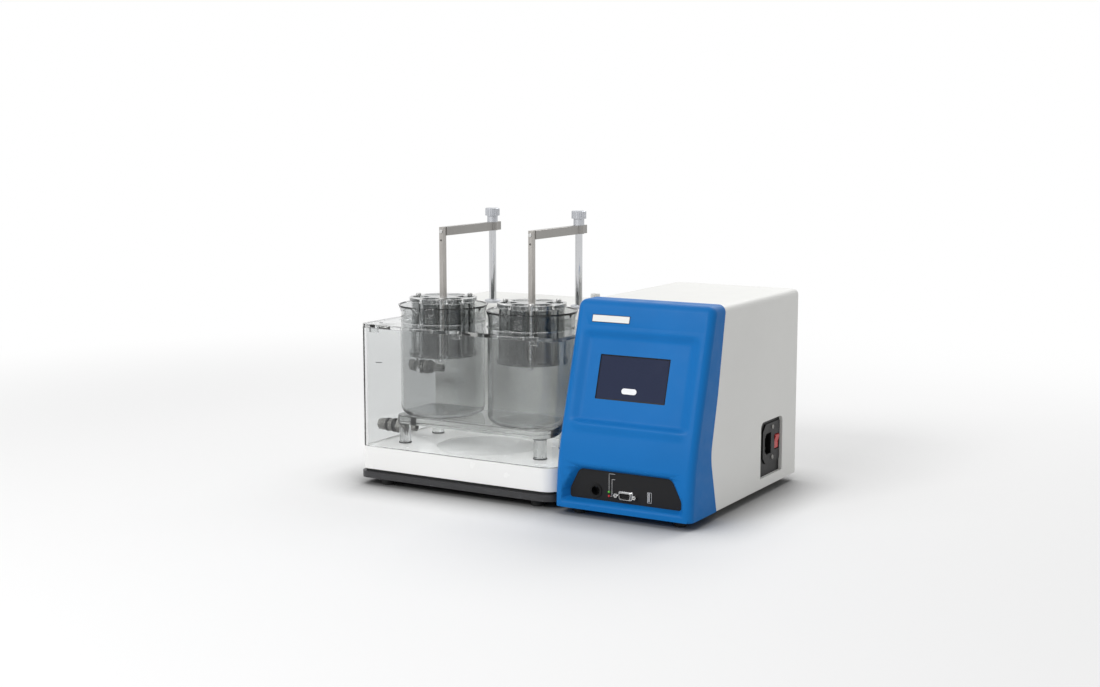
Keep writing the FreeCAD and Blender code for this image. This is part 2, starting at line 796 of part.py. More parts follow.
def beaker_body(wall):
    """Solid of revolution and spout of the beaker, drawn in by the wall for its hollow."""
    r = BEAKER_R - wall
    low = PLATFORM_TOP_Z + (BEAKER_FLOOR if wall else 0)
    top = BEAKER_TOP_Z
    rim = BEAKER_RIM_R - wall
    foot_r = BEAKER_FOOT_R - wall
    turn = foot_r * (1 - math.sqrt(0.5))
    edges = [
        Part.makeLine(V(0, 0, low), V(r - foot_r, 0, low)),
        Part.Arc(V(r - foot_r, 0, low), V(r - turn, 0, low + turn), V(r, 0, low + foot_r)).toShape(),
        Part.makeLine(V(r, 0, low + foot_r), V(r, 0, top - BEAKER_FLARE_H)),
        Part.makeLine(V(r, 0, top - BEAKER_FLARE_H), V(rim, 0, top)),
        Part.makeLine(V(rim, 0, top), V(0, 0, top)),
        Part.makeLine(V(0, 0, top), V(0, 0, low)),
    ]
    body = Part.Face(Part.Wire(edges)).revolve(V(0, 0, 0), V(0, 0, 1), 360)
    reach = BEAKER_RIM_R + SPOUT_REACH - SPOUT_R
    tip = Part.Vertex(V(0, -(BEAKER_R - SPOUT_SINK), top - SPOUT_DROP + wall))
    mouth = Part.Wire(Part.makeCircle(SPOUT_R - wall, V(0, -reach, top), V(0, 0, 1)))
    spout = Part.makeLoft([tip, mouth], True)
    return body.fuse(spout)


def beaker(x):
    glass = beaker_body(0).cut(beaker_body(BEAKER_WALL)).removeSplitter()
    glass.translate(V(x, STATION_Y, 0))
    return glass


def fitting_profile(y, z, steps):
    """Stack of discs along X from (x0, x1, r) steps."""
    return fuse([rod_x(r, x0, x1, y, z) for x0, x1, r in steps])


def hex_nut(x0, x1, y, z, across):
    """Hexagonal block along X, with two flats upright."""
    return prism(hexagon(y, z, across / math.sqrt(3)), [0] * HEX_SIDES, "YZ", x0, x1 - x0)


def fitting_body(y, z):
    """Bulkhead union: hose socket outside, thread through the wall, nozzle inside."""
    nose = -FITTING_OUT + FITTING_NOSE_L
    collar = nose + FITTING_COLLAR_L
    thread = TANK_WALL + FITTING_THREAD_L
    flange = -FITTING_DISC_T - FITTING_FLANGE_L
    steps = [
        (nose, collar, FITTING_COLLAR_R),
        (flange, -FITTING_DISC_T, FITTING_FLANGE_R),
        (collar - FITTING_JOINT, thread, FITTING_THREAD_R),
        (thread - FITTING_JOINT, FITTING_IN, FITTING_NOZZLE_R),
    ]
    tip = hex_nut(-FITTING_OUT, nose + FITTING_JOINT, y, z, FITTING_NOSE_ACROSS)
    body = fitting_profile(y, z, steps).fuse(tip)
    body = body.cut(rod_x(HOSE_BORE_R, -FITTING_OUT, -FITTING_OUT + HOSE_BORE_L, y, z))
    return body.cut(rod_x(FITTING_BORE_R, -FITTING_OUT, FITTING_IN, y, z)).removeSplitter()


def fitting_ring(y, z, x0, x1, r):
    return rod_x(r, x0, x1, y, z).cut(rod_x(FITTING_THREAD_R, x0, x1, y, z))


def hose_fittings():
    return group([fitting_body(y, z) for y, z in FITTING_SPOTS] + fitting_nuts())


def fitting_seals():
    """Rubber rings: one behind the hose socket, one pressed on each face of the wall."""
    rings = []
    for y, z in FITTING_SPOTS:
        flange = -FITTING_DISC_T - FITTING_FLANGE_L
        inner = TANK_WALL + FITTING_INNER_RING_T
        rings.append(fitting_ring(y, z, flange - FITTING_RING_L, flange, FITTING_RING_R))
        rings.append(fitting_ring(y, z, -FITTING_DISC_T, 0.0, FITTING_DISC_R))
        rings.append(fitting_ring(y, z, TANK_WALL, inner, FITTING_RING_R))
    return group(rings)


def fitting_nuts():
    nuts = []
    for y, z in FITTING_SPOTS:
        start = TANK_WALL + FITTING_INNER_RING_T
        nut_end = start + FITTING_NUT_T
        lock = nut_end + FITTING_LOCK_GAP
        nut = hex_nut(start, nut_end, y, z, FITTING_NUT_ACROSS)
        ring = rod_x(FITTING_COLLAR_R, lock, lock + FITTING_LOCK_T, y, z)
        bore = rod_x(FITTING_THREAD_R, start, lock + FITTING_LOCK_T, y, z)
        nuts.append(nut.cut(bore))
        nuts.append(ring.cut(bore))
    return nuts


# ---------------------------------------------------------------- baskets, hangers and arms
def ring_spots(x, count, circle_r, first_angle):
    spots = []
    for i in range(count):
        angle = math.radians(first_angle + 360.0 * i / count)
        spots.append((x + circle_r * math.cos(angle), STATION_Y + circle_r * math.sin(angle)))
    return spots


def basket_tubes(x):
    tubes = []
    for tx, ty in ring_spots(x, TUBE_COUNT, TUBE_CIRCLE_R, TUBE_FIRST_ANGLE):
        tube = rod_z(TUBE_R, tx, ty, BASKET_BOTTOM_Z, BASKET_TOP_Z)
        tubes.append(tube.cut(rod_z(TUBE_BORE_R, tx, ty, BASKET_BOTTOM_Z, BASKET_TOP_Z)))
    return group(tubes)


def basket_plates(x):
    plates = []
    for z0 in (BASKET_BOTTOM_Z, BASKET_TOP_Z - BASKET_PLATE_T):
        z1 = z0 + BASKET_PLATE_T
        plate = rod_z(BASKET_PLATE_R, x, STATION_Y, z0, z1)
        for tx, ty in ring_spots(x, TUBE_COUNT, TUBE_CIRCLE_R, TUBE_FIRST_ANGLE):
            plate = plate.cut(rod_z(TUBE_R, tx, ty, z0, z1))
        for tx, ty in ring_spots(x, TIE_COUNT, TIE_CIRCLE_R, TIE_FIRST_ANGLE):
            plate = plate.cut(rod_z(TIE_R, tx, ty, z0, z1))
        if z0 > BASKET_BOTTOM_Z:
            plate = plate.cut(hanger_prism(x, z0, z1))
        plates.append(plate)
    return group(plates)


def basket_mesh(x):
    z0 = BASKET_BOTTOM_Z - MESH_T
    mesh = rod_z(MESH_R, x, STATION_Y, z0, BASKET_BOTTOM_Z)
    for tx, ty in ring_spots(x, TIE_COUNT, TIE_CIRCLE_R, TIE_FIRST_ANGLE):
        mesh = mesh.cut(rod_z(TIE_R, tx, ty, z0, BASKET_BOTTOM_Z))
    return mesh


def basket_ties(x):
    """Tie rods with a nut at each end that clamp plates and mesh together."""
    low = BASKET_BOTTOM_Z - MESH_T
    ties = []
    for tx, ty in ring_spots(x, TIE_COUNT, TIE_CIRCLE_R, TIE_FIRST_ANGLE):
        rod = rod_z(TIE_R, tx, ty, low - TIE_NUT_H, BASKET_TOP_Z + TIE_NUT_H)
        foot_nut = rod_z(TIE_NUT_R, tx, ty, low - TIE_NUT_H, low)
        head_nut = rod_z(TIE_NUT_R, tx, ty, BASKET_TOP_Z, BASKET_TOP_Z + TIE_NUT_H)
        ties.append(fuse([rod, foot_nut, head_nut]))
    return ties


def hanger_prism(x, z0, z1):
    front = STATION_Y - HANGER_D / 2
    return box(x - HANGER_W / 2, x + HANGER_W / 2, front, front + HANGER_D, z0, z1)


def hanger_bar(x):
    bar = hanger_prism(x, BASKET_BOTTOM_Z + BASKET_PLATE_T, ARM_TOP_Z)
    front = STATION_Y - HANGER_D / 2
    spare_hole = rod_y(HANGER_HOLE_R, x, front, front + HANGER_D, ARM_Z - HANGER_HOLE_DROP)
    screw_hole = rod_y(SHEET_SCREW_R, x, front, front + HANGER_D, ARM_Z + ARM_H / 2)
    return bar.cut(spare_hole).cut(screw_hole)


def lift_arm(x):
    """Flat bar from the hanger to past the drive rod, with a round hub that sits on the rod."""
    start = STATION_Y + HANGER_D / 2
    bar = box(x - ARM_W / 2, x + ARM_W / 2, start, ROD_Y + ARM_TAIL, ARM_Z, ARM_TOP_Z)
    arm = fuse([bar, rod_z(HUB_R, x, ROD_Y, ARM_Z, ARM_TOP_Z)])
    arm = arm.cut(rod_z(ROD_R + ROD_FIT, x, ROD_Y, ARM_Z, ROD_TOP_Z))
    arm = arm.cut(rod_z(ROD_TAP_R + ROD_TAP_CLEAR, x, ROD_Y, ROD_TOP_Z, ARM_TOP_Z))
    return arm.cut(rod_y(SHEET_SCREW_R, x, start, start + ARM_SCREW_GRIP, ARM_Z + ARM_H / 2))


def arm_screw(x):
    front = STATION_Y - HANGER_D / 2
    at = V(x, front, ARM_Z + ARM_H / 2)
    length = HANGER_D + ARM_SCREW_GRIP
    return screw(at, (0, -1, 0), ARM_SCREW_HEAD_R, ARM_SCREW_HEAD_H, SHEET_SCREW_R, length)


def basket_fasteners(x):
    return group(basket_ties(x) + [arm_screw(x)])


def knob(x):
    """Knurled thumb screw whose shank passes the hub into the tapped end of the drive rod."""
    z = ARM_TOP_Z
    top = z + KNOB_NECK_H + KNOB_HEAD_H
    profile = [
        (0, z - KNOB_SHANK_L), (KNOB_SHANK_R, z - KNOB_SHANK_L), (KNOB_SHANK_R, z), (KNOB_NECK_R, z),
        (KNOB_NECK_R, z + KNOB_NECK_H), (KNOB_HEAD_R, z + KNOB_NECK_H), (KNOB_HEAD_R, top - KNOB_EDGE),
        (KNOB_HEAD_R - KNOB_EDGE, top), (0, top),
    ]
    head = revolve(profile, V(x, ROD_Y, 0))
    for i in range(KNURL_COUNT):
        angle = 2 * math.pi * i / KNURL_COUNT
        groove_x = x + (KNOB_HEAD_R + KNURL_R / 3) * math.cos(angle)
        groove_y = ROD_Y + (KNOB_HEAD_R + KNURL_R / 3) * math.sin(angle)
        head = head.cut(rod_z(KNURL_R, groove_x, groove_y, z + KNOB_NECK_H, top))
    return head


def drive_rod(x):
    rod = rod_z(ROD_R, x, ROD_Y, ROD_BOTTOM_Z, ROD_TOP_Z)
    return rod.cut(rod_z(ROD_TAP_R, x, ROD_Y, ROD_TOP_Z - ROD_TAP_DEPTH, ROD_TOP_Z))


# ---------------------------------------------------------------- drive
def crosshead():
    """Yoke that joins both rods; the pin roller runs in its level slot."""
    front = CROSSHEAD_FRONT_Y
    low = CROSSHEAD_MID_Z - CROSSHEAD_H / 2
    high = CROSSHEAD_MID_Z + CROSSHEAD_H / 2
    left = MID_X - CROSSHEAD_W / 2
    plan = rectangle(left, left + CROSSHEAD_W, low, high)
    block = prism(plan, [CROSSHEAD_CORNER_R] * 4, "XZ", front, CROSSHEAD_T)
    half_w = STROKE / 2 + ROLLER_R + YOKE_END_SLACK
    half_h = ROLLER_R + YOKE_SLACK
    mid_z = CROSSHEAD_MID_Z
    slot_plan = rectangle(MID_X - half_w, MID_X + half_w, mid_z - half_h, mid_z + half_h)
    block = block.cut(prism(slot_plan, [SLOT_CORNER_R] * 4, "XZ", front, CROSSHEAD_T))
    for x in STATION_X:
        block = block.cut(rod_z(ROD_R, x, ROD_Y, low, high))
    return block


def crank_disc():
    disc = rod_y(CRANK_R, MID_X, CRANK_Y, CRANK_Y + CRANK_T, CRANK_Z)
    boss = rod_y(SHAFT_R + CRANK_BOSS_T, MID_X, CRANK_Y, WALL_Y - BOSS_GAP, CRANK_Z)
    disc = disc.fuse(boss).cut(rod_y(SHAFT_R, MID_X, CRANK_Y, WALL_Y, CRANK_Z))
    pin_z = CRANK_Z + STROKE / 2
    disc = disc.cut(rod_y(ROLLER_PIN_R, MID_X, CRANK_Y, CRANK_Y + CRANK_T, pin_z))
    for side in (-1, 1):
        hole_x = MID_X + side * CRANK_HOLE_X
        disc = disc.cut(rod_y(CRANK_HOLE_R, hole_x, CRANK_Y, CRANK_Y + CRANK_T, CRANK_Z))
    return fuse([disc, crank_pin()])


def crank_shaft():
    return rod_y(SHAFT_R, MID_X, CRANK_Y, GEARBOX_Y + SHAFT_DEPTH, CRANK_Z)


def crank_pin():
    """Pin whose head holds the roller against the disc."""
    head_back = CROSSHEAD_FRONT_Y - ROLLER_STAND
    pin = rod_y(ROLLER_PIN_R, MID_X, head_back - PIN_HEAD_T, CRANK_Y + CRANK_T, CRANK_Z + STROKE / 2)
    head = rod_y(PIN_HEAD_R, MID_X, head_back - PIN_HEAD_T, head_back, CRANK_Z + STROKE / 2)
    return fuse([pin, head])


def pin_roller():
    front = CROSSHEAD_FRONT_Y - ROLLER_STAND
    z = CRANK_Z + STROKE / 2
    ring = rod_y(ROLLER_R, MID_X, front, CRANK_Y, z)
    return ring.cut(rod_y(ROLLER_PIN_R, MID_X, front, CRANK_Y, z))


def shaft_bearing():
    ring = rod_y(BEARING_R, MID_X, WALL_Y, GEARBOX_Y, CRANK_Z)
    return ring.cut(rod_y(SHAFT_R + SHAFT_FIT, MID_X, WALL_Y, GEARBOX_Y, CRANK_Z))


def drive_frame():
    """Folded frame: upright wall behind the crank, foot, two guide shelves and side webs."""
    left = MID_X - FRAME_W / 2
    right = MID_X + FRAME_W / 2
    front = ROD_Y - FRAME_REACH
    back = HOUSING_BACK_Y - FRAME_TAIL_GAP
    top = TOP_SHELF_Z + TOP_SHELF_T
    wall = box(left, right, WALL_Y, GEARBOX_Y, PLATE_TOP_Z, top)
    foot_plate = box(left, right, front, back, PLATE_TOP_Z, PLATE_TOP_Z + FRAME_FOOT_T)
    guide = box(left, right, front, WALL_Y, GUIDE_SHELF_Z, GUIDE_SHELF_Z + GUIDE_SHELF_T)
    roof = box(left, right, front, WALL_Y, TOP_SHELF_Z, top)
    web_xs = (left, right - FRAME_WEB_T)
    webs = [box(x, x + FRAME_WEB_T, front, WALL_Y, PLATE_TOP_Z, top) for x in web_xs]
    frame = fuse([wall, foot_plate, guide, roof] + webs)
    frame = frame.cut(rod_y(BEARING_R, MID_X, WALL_Y, GEARBOX_Y, CRANK_Z))
    for x in STATION_X:
        frame = frame.cut(rod_z(BUSH_R, x, ROD_Y, GUIDE_SHELF_Z, GUIDE_SHELF_Z + GUIDE_SHELF_T))
        frame = frame.cut(rod_z(BUSH_R, x, ROD_Y, TOP_SHELF_Z, top))
    return frame


def rod_bushes():
    """Flanged bushes whose collars show on the housing's top, and plain ones in the guide shelf."""
    bushes = []
    for x in STATION_X:
        sleeve = rod_z(BUSH_R, x, ROD_Y, HOUSING_TOP_Z - BUSH_L, HOUSING_TOP_Z)
        collar = rod_z(BUSH_FLANGE_R, x, ROD_Y, HOUSING_TOP_Z, HOUSING_TOP_Z + BUSH_FLANGE_H)
        rim = [e for e in collar.Edges if abs(e.CenterOfMass.z - HOUSING_TOP_Z - BUSH_FLANGE_H) < 0.01]
        bush = fuse([sleeve, collar.makeChamfer(BUSH_CHAMFER, rim)])
        lower = rod_z(BUSH_R, x, ROD_Y, GUIDE_SHELF_Z, GUIDE_SHELF_Z + GUIDE_SHELF_T)
        for solid in (bush, lower):
            bushes.append(solid.cut(rod_z(ROD_R + ROD_FIT, x, ROD_Y, 0, HOUSING_TOP_Z + BUSH_L)))
    return group(bushes)


def gear_motor():
    half = GEARBOX_W / 2
    plan = rectangle(MID_X - half, MID_X + half, CRANK_Z - half, CRANK_Z + half)
    gearbox = prism(plan, [GEARBOX_CORNER_R] * 4, "XZ", GEARBOX_Y, GEARBOX_D)
    motor_y = GEARBOX_Y + GEARBOX_D
    motor_end = motor_y + MOTOR_L
    can = rod_y(MOTOR_R, MID_X, motor_y, motor_end, CRANK_Z)
    cap = rod_y(MOTOR_R - MOTOR_CAP_STEP, MID_X, motor_end, motor_end + MOTOR_CAP_T, CRANK_Z)
    motor = fuse([gearbox, can, cap])
    bore_end = GEARBOX_Y + SHAFT_DEPTH + SHAFT_END_GAP
    return motor.cut(rod_y(SHAFT_R + SHAFT_FIT, MID_X, GEARBOX_Y, bore_end, CRANK_Z))


def cover_screw_spots():
    xs = (HOUSING_LEFT_X + COVER_SCREW_INSET, MID_X, BATH_W - COVER_SCREW_INSET)
    zs = (PLATE_TOP_Z + COVER_SCREW_INSET, HOUSING_TOP_Z - COVER_SCREW_INSET)
    return [(x, z) for x in xs for z in zs]


def with_screw_boss(carrier, x, z, root_z):
    """Carrier with a bored boss for a cover screw, on a rib that rises or hangs from root_z."""
    front = HOUSING_BACK_Y - BOSS_L
    half = BOSS_RIB_T / 2
    rib = box(x - half, x + half, front, HOUSING_BACK_Y, min(z, root_z), max(z, root_z))
    boss = rod_y(BOSS_R, x, front, HOUSING_BACK_Y, z)
    pilot = rod_y(SHEET_SCREW_R + SCREW_CLEAR, x, front, HOUSING_BACK_Y, z)
    return carrier.fuse(boss).fuse(rib).cut(pilot)


def drive_housing():
    """White sheet housing behind the bath, open to the back and below."""
    r = HOUSING_R
    plan = rectangle(HOUSING_LEFT_X, BATH_W, HOUSING_FRONT_Y, HOUSING_BACK_Y)
    outer = prism(plan, [r, r, 0, 0], "XY", PLATE_TOP_Z, HOUSING_TOP_Z - PLATE_TOP_Z)
    rim = [e for e in outer.Edges if abs(e.CenterOfMass.z - HOUSING_TOP_Z) < 0.01]
    rim = [e for e in rim if abs(e.CenterOfMass.y - HOUSING_BACK_Y) > 0.01]
    outer = outer.makeFillet(HOUSING_TOP_R, rim)
    w = HOUSING_WALL
    room = rectangle(HOUSING_LEFT_X + w, BATH_W - w, HOUSING_FRONT_Y + w, HOUSING_BACK_Y)
    inner = prism(room, [r - w, r - w, 0, 0], "XY", PLATE_TOP_Z, HOUSING_TOP_Z - w - PLATE_TOP_Z)
    shell = outer.cut(inner)
    for x, z in cover_screw_spots():
        if z > CRANK_Z:
            shell = with_screw_boss(shell, x, z, HOUSING_TOP_Z - w)
    for x in STATION_X:
        shell = shell.cut(rod_z(BUSH_R, x, ROD_Y, HOUSING_TOP_Z - w, HOUSING_TOP_Z))
    for y, z in TIE_SPOTS:
        shell = shell.cut(rod_x(TIE_BOLT_R + SCREW_CLEAR, BATH_W - w, BATH_W, y, z))
    shell = shell.cut(rod_x(CABLE_BUSH_R, BATH_W - w, BATH_W, CABLE_Y, CABLE_Z))
    return shell.removeSplitter()


def vent_slots(x_mid, z_mid, y0, y1, rows, half_length):
    """Round-ended level slots in a stack."""
    slots = []
    for i in range(rows):
        z = z_mid + (i - (rows - 1) / 2) * SLOT_PITCH
        half = SLOT_H / 2
        plan = rectangle(x_mid - half_length, x_mid + half_length, z - half, z + half)
        slots.append(prism(plan, [half * SLOT_END_SHARE] * 4, "XZ", y0, y1 - y0))
    return slots


def back_cover():
    plan = rectangle(HOUSING_LEFT_X, BATH_W, PLATE_TOP_Z, HOUSING_TOP_Z)
    radii = [BACK_CORNER_R, BACK_CORNER_R, HOUSING_TOP_R, HOUSING_TOP_R]
    cover = prism(plan, radii, "XZ", HOUSING_BACK_Y, BACK_COVER_T)
    for x, z in cover_screw_spots():
        cover = cover.cut(rod_y(SHEET_SCREW_R + SCREW_CLEAR, x, HOUSING_BACK_Y, COVER_BACK_Y, z))
    for x in (MID_X - COVER_SLOT_X, MID_X + COVER_SLOT_X):
        slots = vent_slots(x, CRANK_Z, HOUSING_BACK_Y, COVER_BACK_Y, COVER_SLOT_ROWS, COVER_SLOT_HALF)
        for slot in slots:
            cover = cover.cut(slot)
    return cover


def back_cover_screws():
    screws = []
    for x, z in cover_screw_spots():
        at = V(x, COVER_BACK_Y, z)
        screws.append(screw(at, (0, 1, 0), SCREW_HEAD_R, SCREW_HEAD_H, SHEET_SCREW_R, SCREW_GRIP))
    return screws


def port_cap():
    """Small round cap with a slimmer neck on the housing's top."""
    z = HOUSING_TOP_Z
    neck_r = PORT_CAP_R - PORT_CAP_EDGE
    top = z + PORT_CAP_H
    neck_top = z + PORT_CAP_NECK_H
    profile = [
        (0, z), (neck_r, z), (neck_r, neck_top), (PORT_CAP_R, neck_top + PORT_CAP_EDGE),
        (PORT_CAP_R, top - PORT_CAP_EDGE), (neck_r, top), (0, top),
    ]
    return revolve(profile, V(PORT_CAP_X, ROD_Y + PORT_CAP_FROM_ROD, 0))


# ---------------------------------------------------------------- control unit
def face_y(z):
    """Y of the leaning front face at a height, before any rounding."""
    return UNIT_FRONT_Y + FACE_SLOPE * (z - FACE_KNEE_Z)


def bezel_block(inset):
    """Whole front block drawn in by inset: upright foot, wide knee, leaning face, round top."""
    front = UNIT_FRONT_Y + inset
    shift = inset / math.cos(LEAN)
    knee_z = FACE_KNEE_Z + (inset - shift) / FACE_SLOPE
    top = UNIT_TOP_Z - inset
    rear = BEZEL_BACK_Y
    points = [
        (rear, UNIT_BOTTOM_Z + inset), (front, UNIT_BOTTOM_Z + inset), (front, knee_z),
        (face_y(top) + shift, top), (rear, top),
    ]
    wire_radii = [0, 0, KNEE_R - inset, BEZEL_TOP_R - inset, 0]
    x0 = UNIT_X + inset
    block = prism(points, wire_radii, "YZ", x0, UNIT_W - 2 * inset)
    sides = []
    for edge in block.Edges:
        middle = edge.CenterOfMass
        on_side = abs(middle.x - x0) < 0.01 or abs(middle.x - x0 - UNIT_W + 2 * inset) < 0.01
        low_or_rear = middle.z < UNIT_BOTTOM_Z + inset + 0.01 or middle.y > rear - 0.01
        if on_side and not low_or_rear:
            sides.append(edge)
    return block.makeFillet(BEZEL_SIDE_R - inset, sides)


def parting_points():
    """Rear outline of the bezel seen from the side, with its waist above the bench."""
    return [
        (PARTING_TOP_Y, UNIT_TOP_Z), (PARTING_BEND_Y, PARTING_BEND_Z),
        (PARTING_WAIST_Y, PARTING_WAIST_Z), (PARTING_FOOT_Y, UNIT_BOTTOM_Z),
    ]


def run_on(start, end, z):
    """Y at height z on the straight line through two (y, z) points."""
    return start[0] + (end[0] - start[0]) * (z - start[1]) / (end[1] - start[1])


def behind_parting():
    """All the room behind the bezel's rear outline, past the unit on every other side."""
    low = UNIT_BOTTOM_Z - CUT_MARGIN
    high = UNIT_TOP_Z + CUT_MARGIN
    back = UNIT_BACK_Y + CUT_MARGIN
    top, bend, waist, foot_end = parting_points()
    points = [
        (run_on(bend, top, high), high), bend, waist, (run_on(waist, foot_end, low), low),
        (back, low), (back, high),
    ]
    radii = [0, PARTING_BEND_R, PARTING_WAIST_R, 0, 0, 0]
    return prism(points, radii, "YZ", UNIT_X - CUT_MARGIN, UNIT_W + 2 * CUT_MARGIN)


def on_face(shape, z):
    """Place a shape drawn flat (x right, y up the slope, z outward) on the leaning face."""
    outward = V(0, -math.cos(LEAN), math.sin(LEAN))
    uphill = V(0, math.sin(LEAN), math.cos(LEAN))
    turn = FreeCAD.Rotation(V(1, 0, 0), uphill, outward, "ZXY")
    placed = shape.copy()
    placed.Placement = FreeCAD.Placement(V(UNIT_MID_X, face_y(z), z), turn)
    return placed


def flat_wire(width, height, radius, level, mid=(0, 0)):
    plan = rectangle(mid[0] - width / 2, mid[0] + width / 2, mid[1] - height / 2, mid[1] + height / 2)
    return rounded_wire(plan, [radius] * 4, to_plane("XY", level))


def flat_block(width, height, radius, z0, z1, mid=(0, 0)):
    return Part.Face(flat_wire(width, height, radius, z0, mid)).extrude(V(0, 0, z1 - z0))


def pocket_mid_z():
    return (POCKET_LOW_Z + POCKET_HIGH_Z) / 2


def screen_pocket():
    """Shallow dish with soft sloping sides round the screen."""
    height = (POCKET_HIGH_Z - POCKET_LOW_Z) / math.cos(LEAN)
    outer = flat_wire(POCKET_W + 2 * POCKET_SLOPE, height + 2 * POCKET_SLOPE, POCKET_MOUTH_R, POCKET_RISE)
    floor = flat_wire(POCKET_W, height, POCKET_R, -POCKET_DEPTH)
    return on_face(Part.makeLoft([outer, floor], True), pocket_mid_z())


def screen_spot(shape):
    return on_face(shape, SCREEN_MID_Z)


def panel_outline(grow, place):
    """Dark panel's outline: wide foot, sides that lean in, round upper corners."""
    half = PANEL_W / 2 + grow
    top_half = PANEL_TOP_W / 2 + grow
    low = PANEL_LOW_Z - grow / 2
    high = PANEL_LOW_Z + PANEL_H + grow
    knee = PANEL_LOW_Z + PANEL_KNEE
    points = [(-half, low), (half, low), (half, knee), (top_half, high), (-top_half, high), (-half, knee)]
    points = [(UNIT_MID_X + x, z) for x, z in points]
    radii = [PANEL_FOOT_R, PANEL_FOOT_R, PANEL_KNEE_R, PANEL_TOP_R, PANEL_TOP_R, PANEL_KNEE_R]
    return rounded_wire(points, radii, place)


def panel_prism(grow, y0, y1):
    face = Part.Face(panel_outline(grow, to_plane("XZ", y0)))
    return face.extrude(V(0, y1 - y0, 0))


def mouth_reach(y):
    """How far the recess's sloping sides stand outside the panel's outline at a given y."""
    return PANEL_MOUTH * (PANEL_Y - y) / (PANEL_Y - UNIT_FRONT_Y + PANEL_MOUTH_RISE)


def panel_mouth():
    """Sloping recess from the front face back to the panel."""
    front = UNIT_FRONT_Y - PANEL_MOUTH_RISE
    outer = panel_outline(PANEL_MOUTH, to_plane("XZ", front))
    inner = panel_outline(0, to_plane("XZ", PANEL_Y))
    return Part.makeLoft([outer, inner], True)


def bezel():
    """Blue front shell with the screen's pocket and window and the connector recess."""
    core = bezel_block(0)
    shell = core.cut(bezel_block(BEZEL_WALL))
    frame_w = SCREEN_W + 2 * SCREEN_FRAME
    frame_h = SCREEN_H + 2 * SCREEN_FRAME
    mid = (SCREEN_OFFSET_X, 0)
    backing = screen_spot(flat_block(frame_w, frame_h, SCREEN_FRAME_R, -SCREEN_FRAME_T, 0, mid))
    width = POCKET_W + 2 * SCREEN_LIP_T
    height = (POCKET_HIGH_Z - POCKET_LOW_Z) / math.cos(LEAN) + 2 * SCREEN_LIP_T
    dish = flat_block(width, height, POCKET_R, -POCKET_DEPTH - POCKET_SKIN, 0)
    dish_back = on_face(dish, pocket_mid_z())
    lap = mouth_reach(UNIT_FRONT_Y + BEZEL_WALL) + PANEL_BACKING_LAP
    panel_back = panel_prism(lap, UNIT_FRONT_Y, PANEL_BACK_Y + PANEL_BACKING_T)
    solid = shell.fuse(backing.common(core)).fuse(dish_back.common(core)).fuse(panel_back.common(core))
    solid = solid.cut(screen_pocket()).cut(panel_mouth())
    beyond = SCREEN_FRAME_T + BEZEL_WALL
    window = flat_block(SCREEN_W, SCREEN_H, WINDOW_CORNER_R, -beyond, BEZEL_WALL, mid)
    seat_w = SCREEN_W + 2 * SCREEN_RIM
    seat_h = SCREEN_H + 2 * SCREEN_RIM
    seat = flat_block(seat_w, seat_h, GLASS_CORNER_R, -beyond, -POCKET_DEPTH - SCREEN_LIP_T, mid)
    solid = solid.cut(screen_spot(window)).cut(screen_spot(seat))
    solid = solid.cut(panel_prism(0, PANEL_Y - PANEL_FIT, PANEL_BACK_Y))
    solid = solid.cut(panel_prism(-PANEL_LEDGE, PANEL_Y, PANEL_BACK_Y + 2 * PANEL_BACKING_T))
    for x, y in unit_foot_spots():
        solid = solid.cut(rod_z(SHEET_SCREW_R + SCREW_CLEAR, x, y, 0, UNIT_BOTTOM_Z + BEZEL_WALL))
    return solid.cut(behind_parting()).removeSplitter()


def touch_screen():
    """Glass with the display behind it, resting on the rim of the bezel's window."""
    top = -POCKET_DEPTH - SCREEN_LIP_T
    behind = top - SCREEN_GLASS_T
    width = SCREEN_W + 2 * SCREEN_RIM - 2 * SCREEN_FIT
    height = SCREEN_H + 2 * SCREEN_RIM - 2 * SCREEN_FIT
    inner_w = width - 2 * DISPLAY_INSET
    inner_h = height - 2 * DISPLAY_INSET
    mid = (SCREEN_OFFSET_X, 0)
    glass = flat_block(width, height, GLASS_CORNER_R, behind, top, mid)
    display = flat_block(inner_w, inner_h, WINDOW_CORNER_R, behind - DISPLAY_T, behind, mid)
    return screen_spot(fuse([glass, display]))


def d_outline(width, height, x, z, y):
    """D-shaped outline with its long side up, centred on x and z."""
    top = width / 2
    low = width / 2 - SERIAL_SLANT
    points = [(x - low, z - height / 2), (x + low, z - height / 2), (x + top, z + height / 2),
              (x - top, z + height / 2)]
    return rounded_wire(points, [SERIAL_CORNER_R] * 4, to_plane("XZ", y))


def d_prism(width, height, x, z, y0, y1):
    return Part.Face(d_outline(width, height, x, z, y0)).extrude(V(0, y1 - y0, 0))


def connector_panel():
    """Dark plate that carries the sockets and lamps, seated on the ledge of its recess."""
    y1 = PANEL_BACK_Y
    panel = panel_prism(-PANEL_FIT, PANEL_Y, y1)
    x = UNIT_MID_X + SENSOR_SOCKET_X
    panel = panel.cut(rod_y(SENSOR_SOCKET_R, x, PANEL_Y, y1, SENSOR_SOCKET_Z))
    for i in range(2):
        z = LAMP_Z - i * LAMP_SPACING
        panel = panel.cut(rod_y(LAMP_R, UNIT_MID_X + LAMP_X, PANEL_Y, y1, z))
    panel = panel.cut(d_prism(SERIAL_W, SERIAL_H, UNIT_MID_X + SERIAL_X, SERIAL_Z, PANEL_Y, y1))
    for x, z in jack_spots():
        panel = panel.cut(rod_y(JACK_SHANK_R + SCREW_CLEAR, x, PANEL_Y, y1, z))
    return panel.cut(usb_block(0, PANEL_Y, y1))


def jack_spots():
    middle = UNIT_MID_X + SERIAL_X
    return [(middle + side * JACK_SPACING / 2, SERIAL_Z) for side in (-1, 1)]


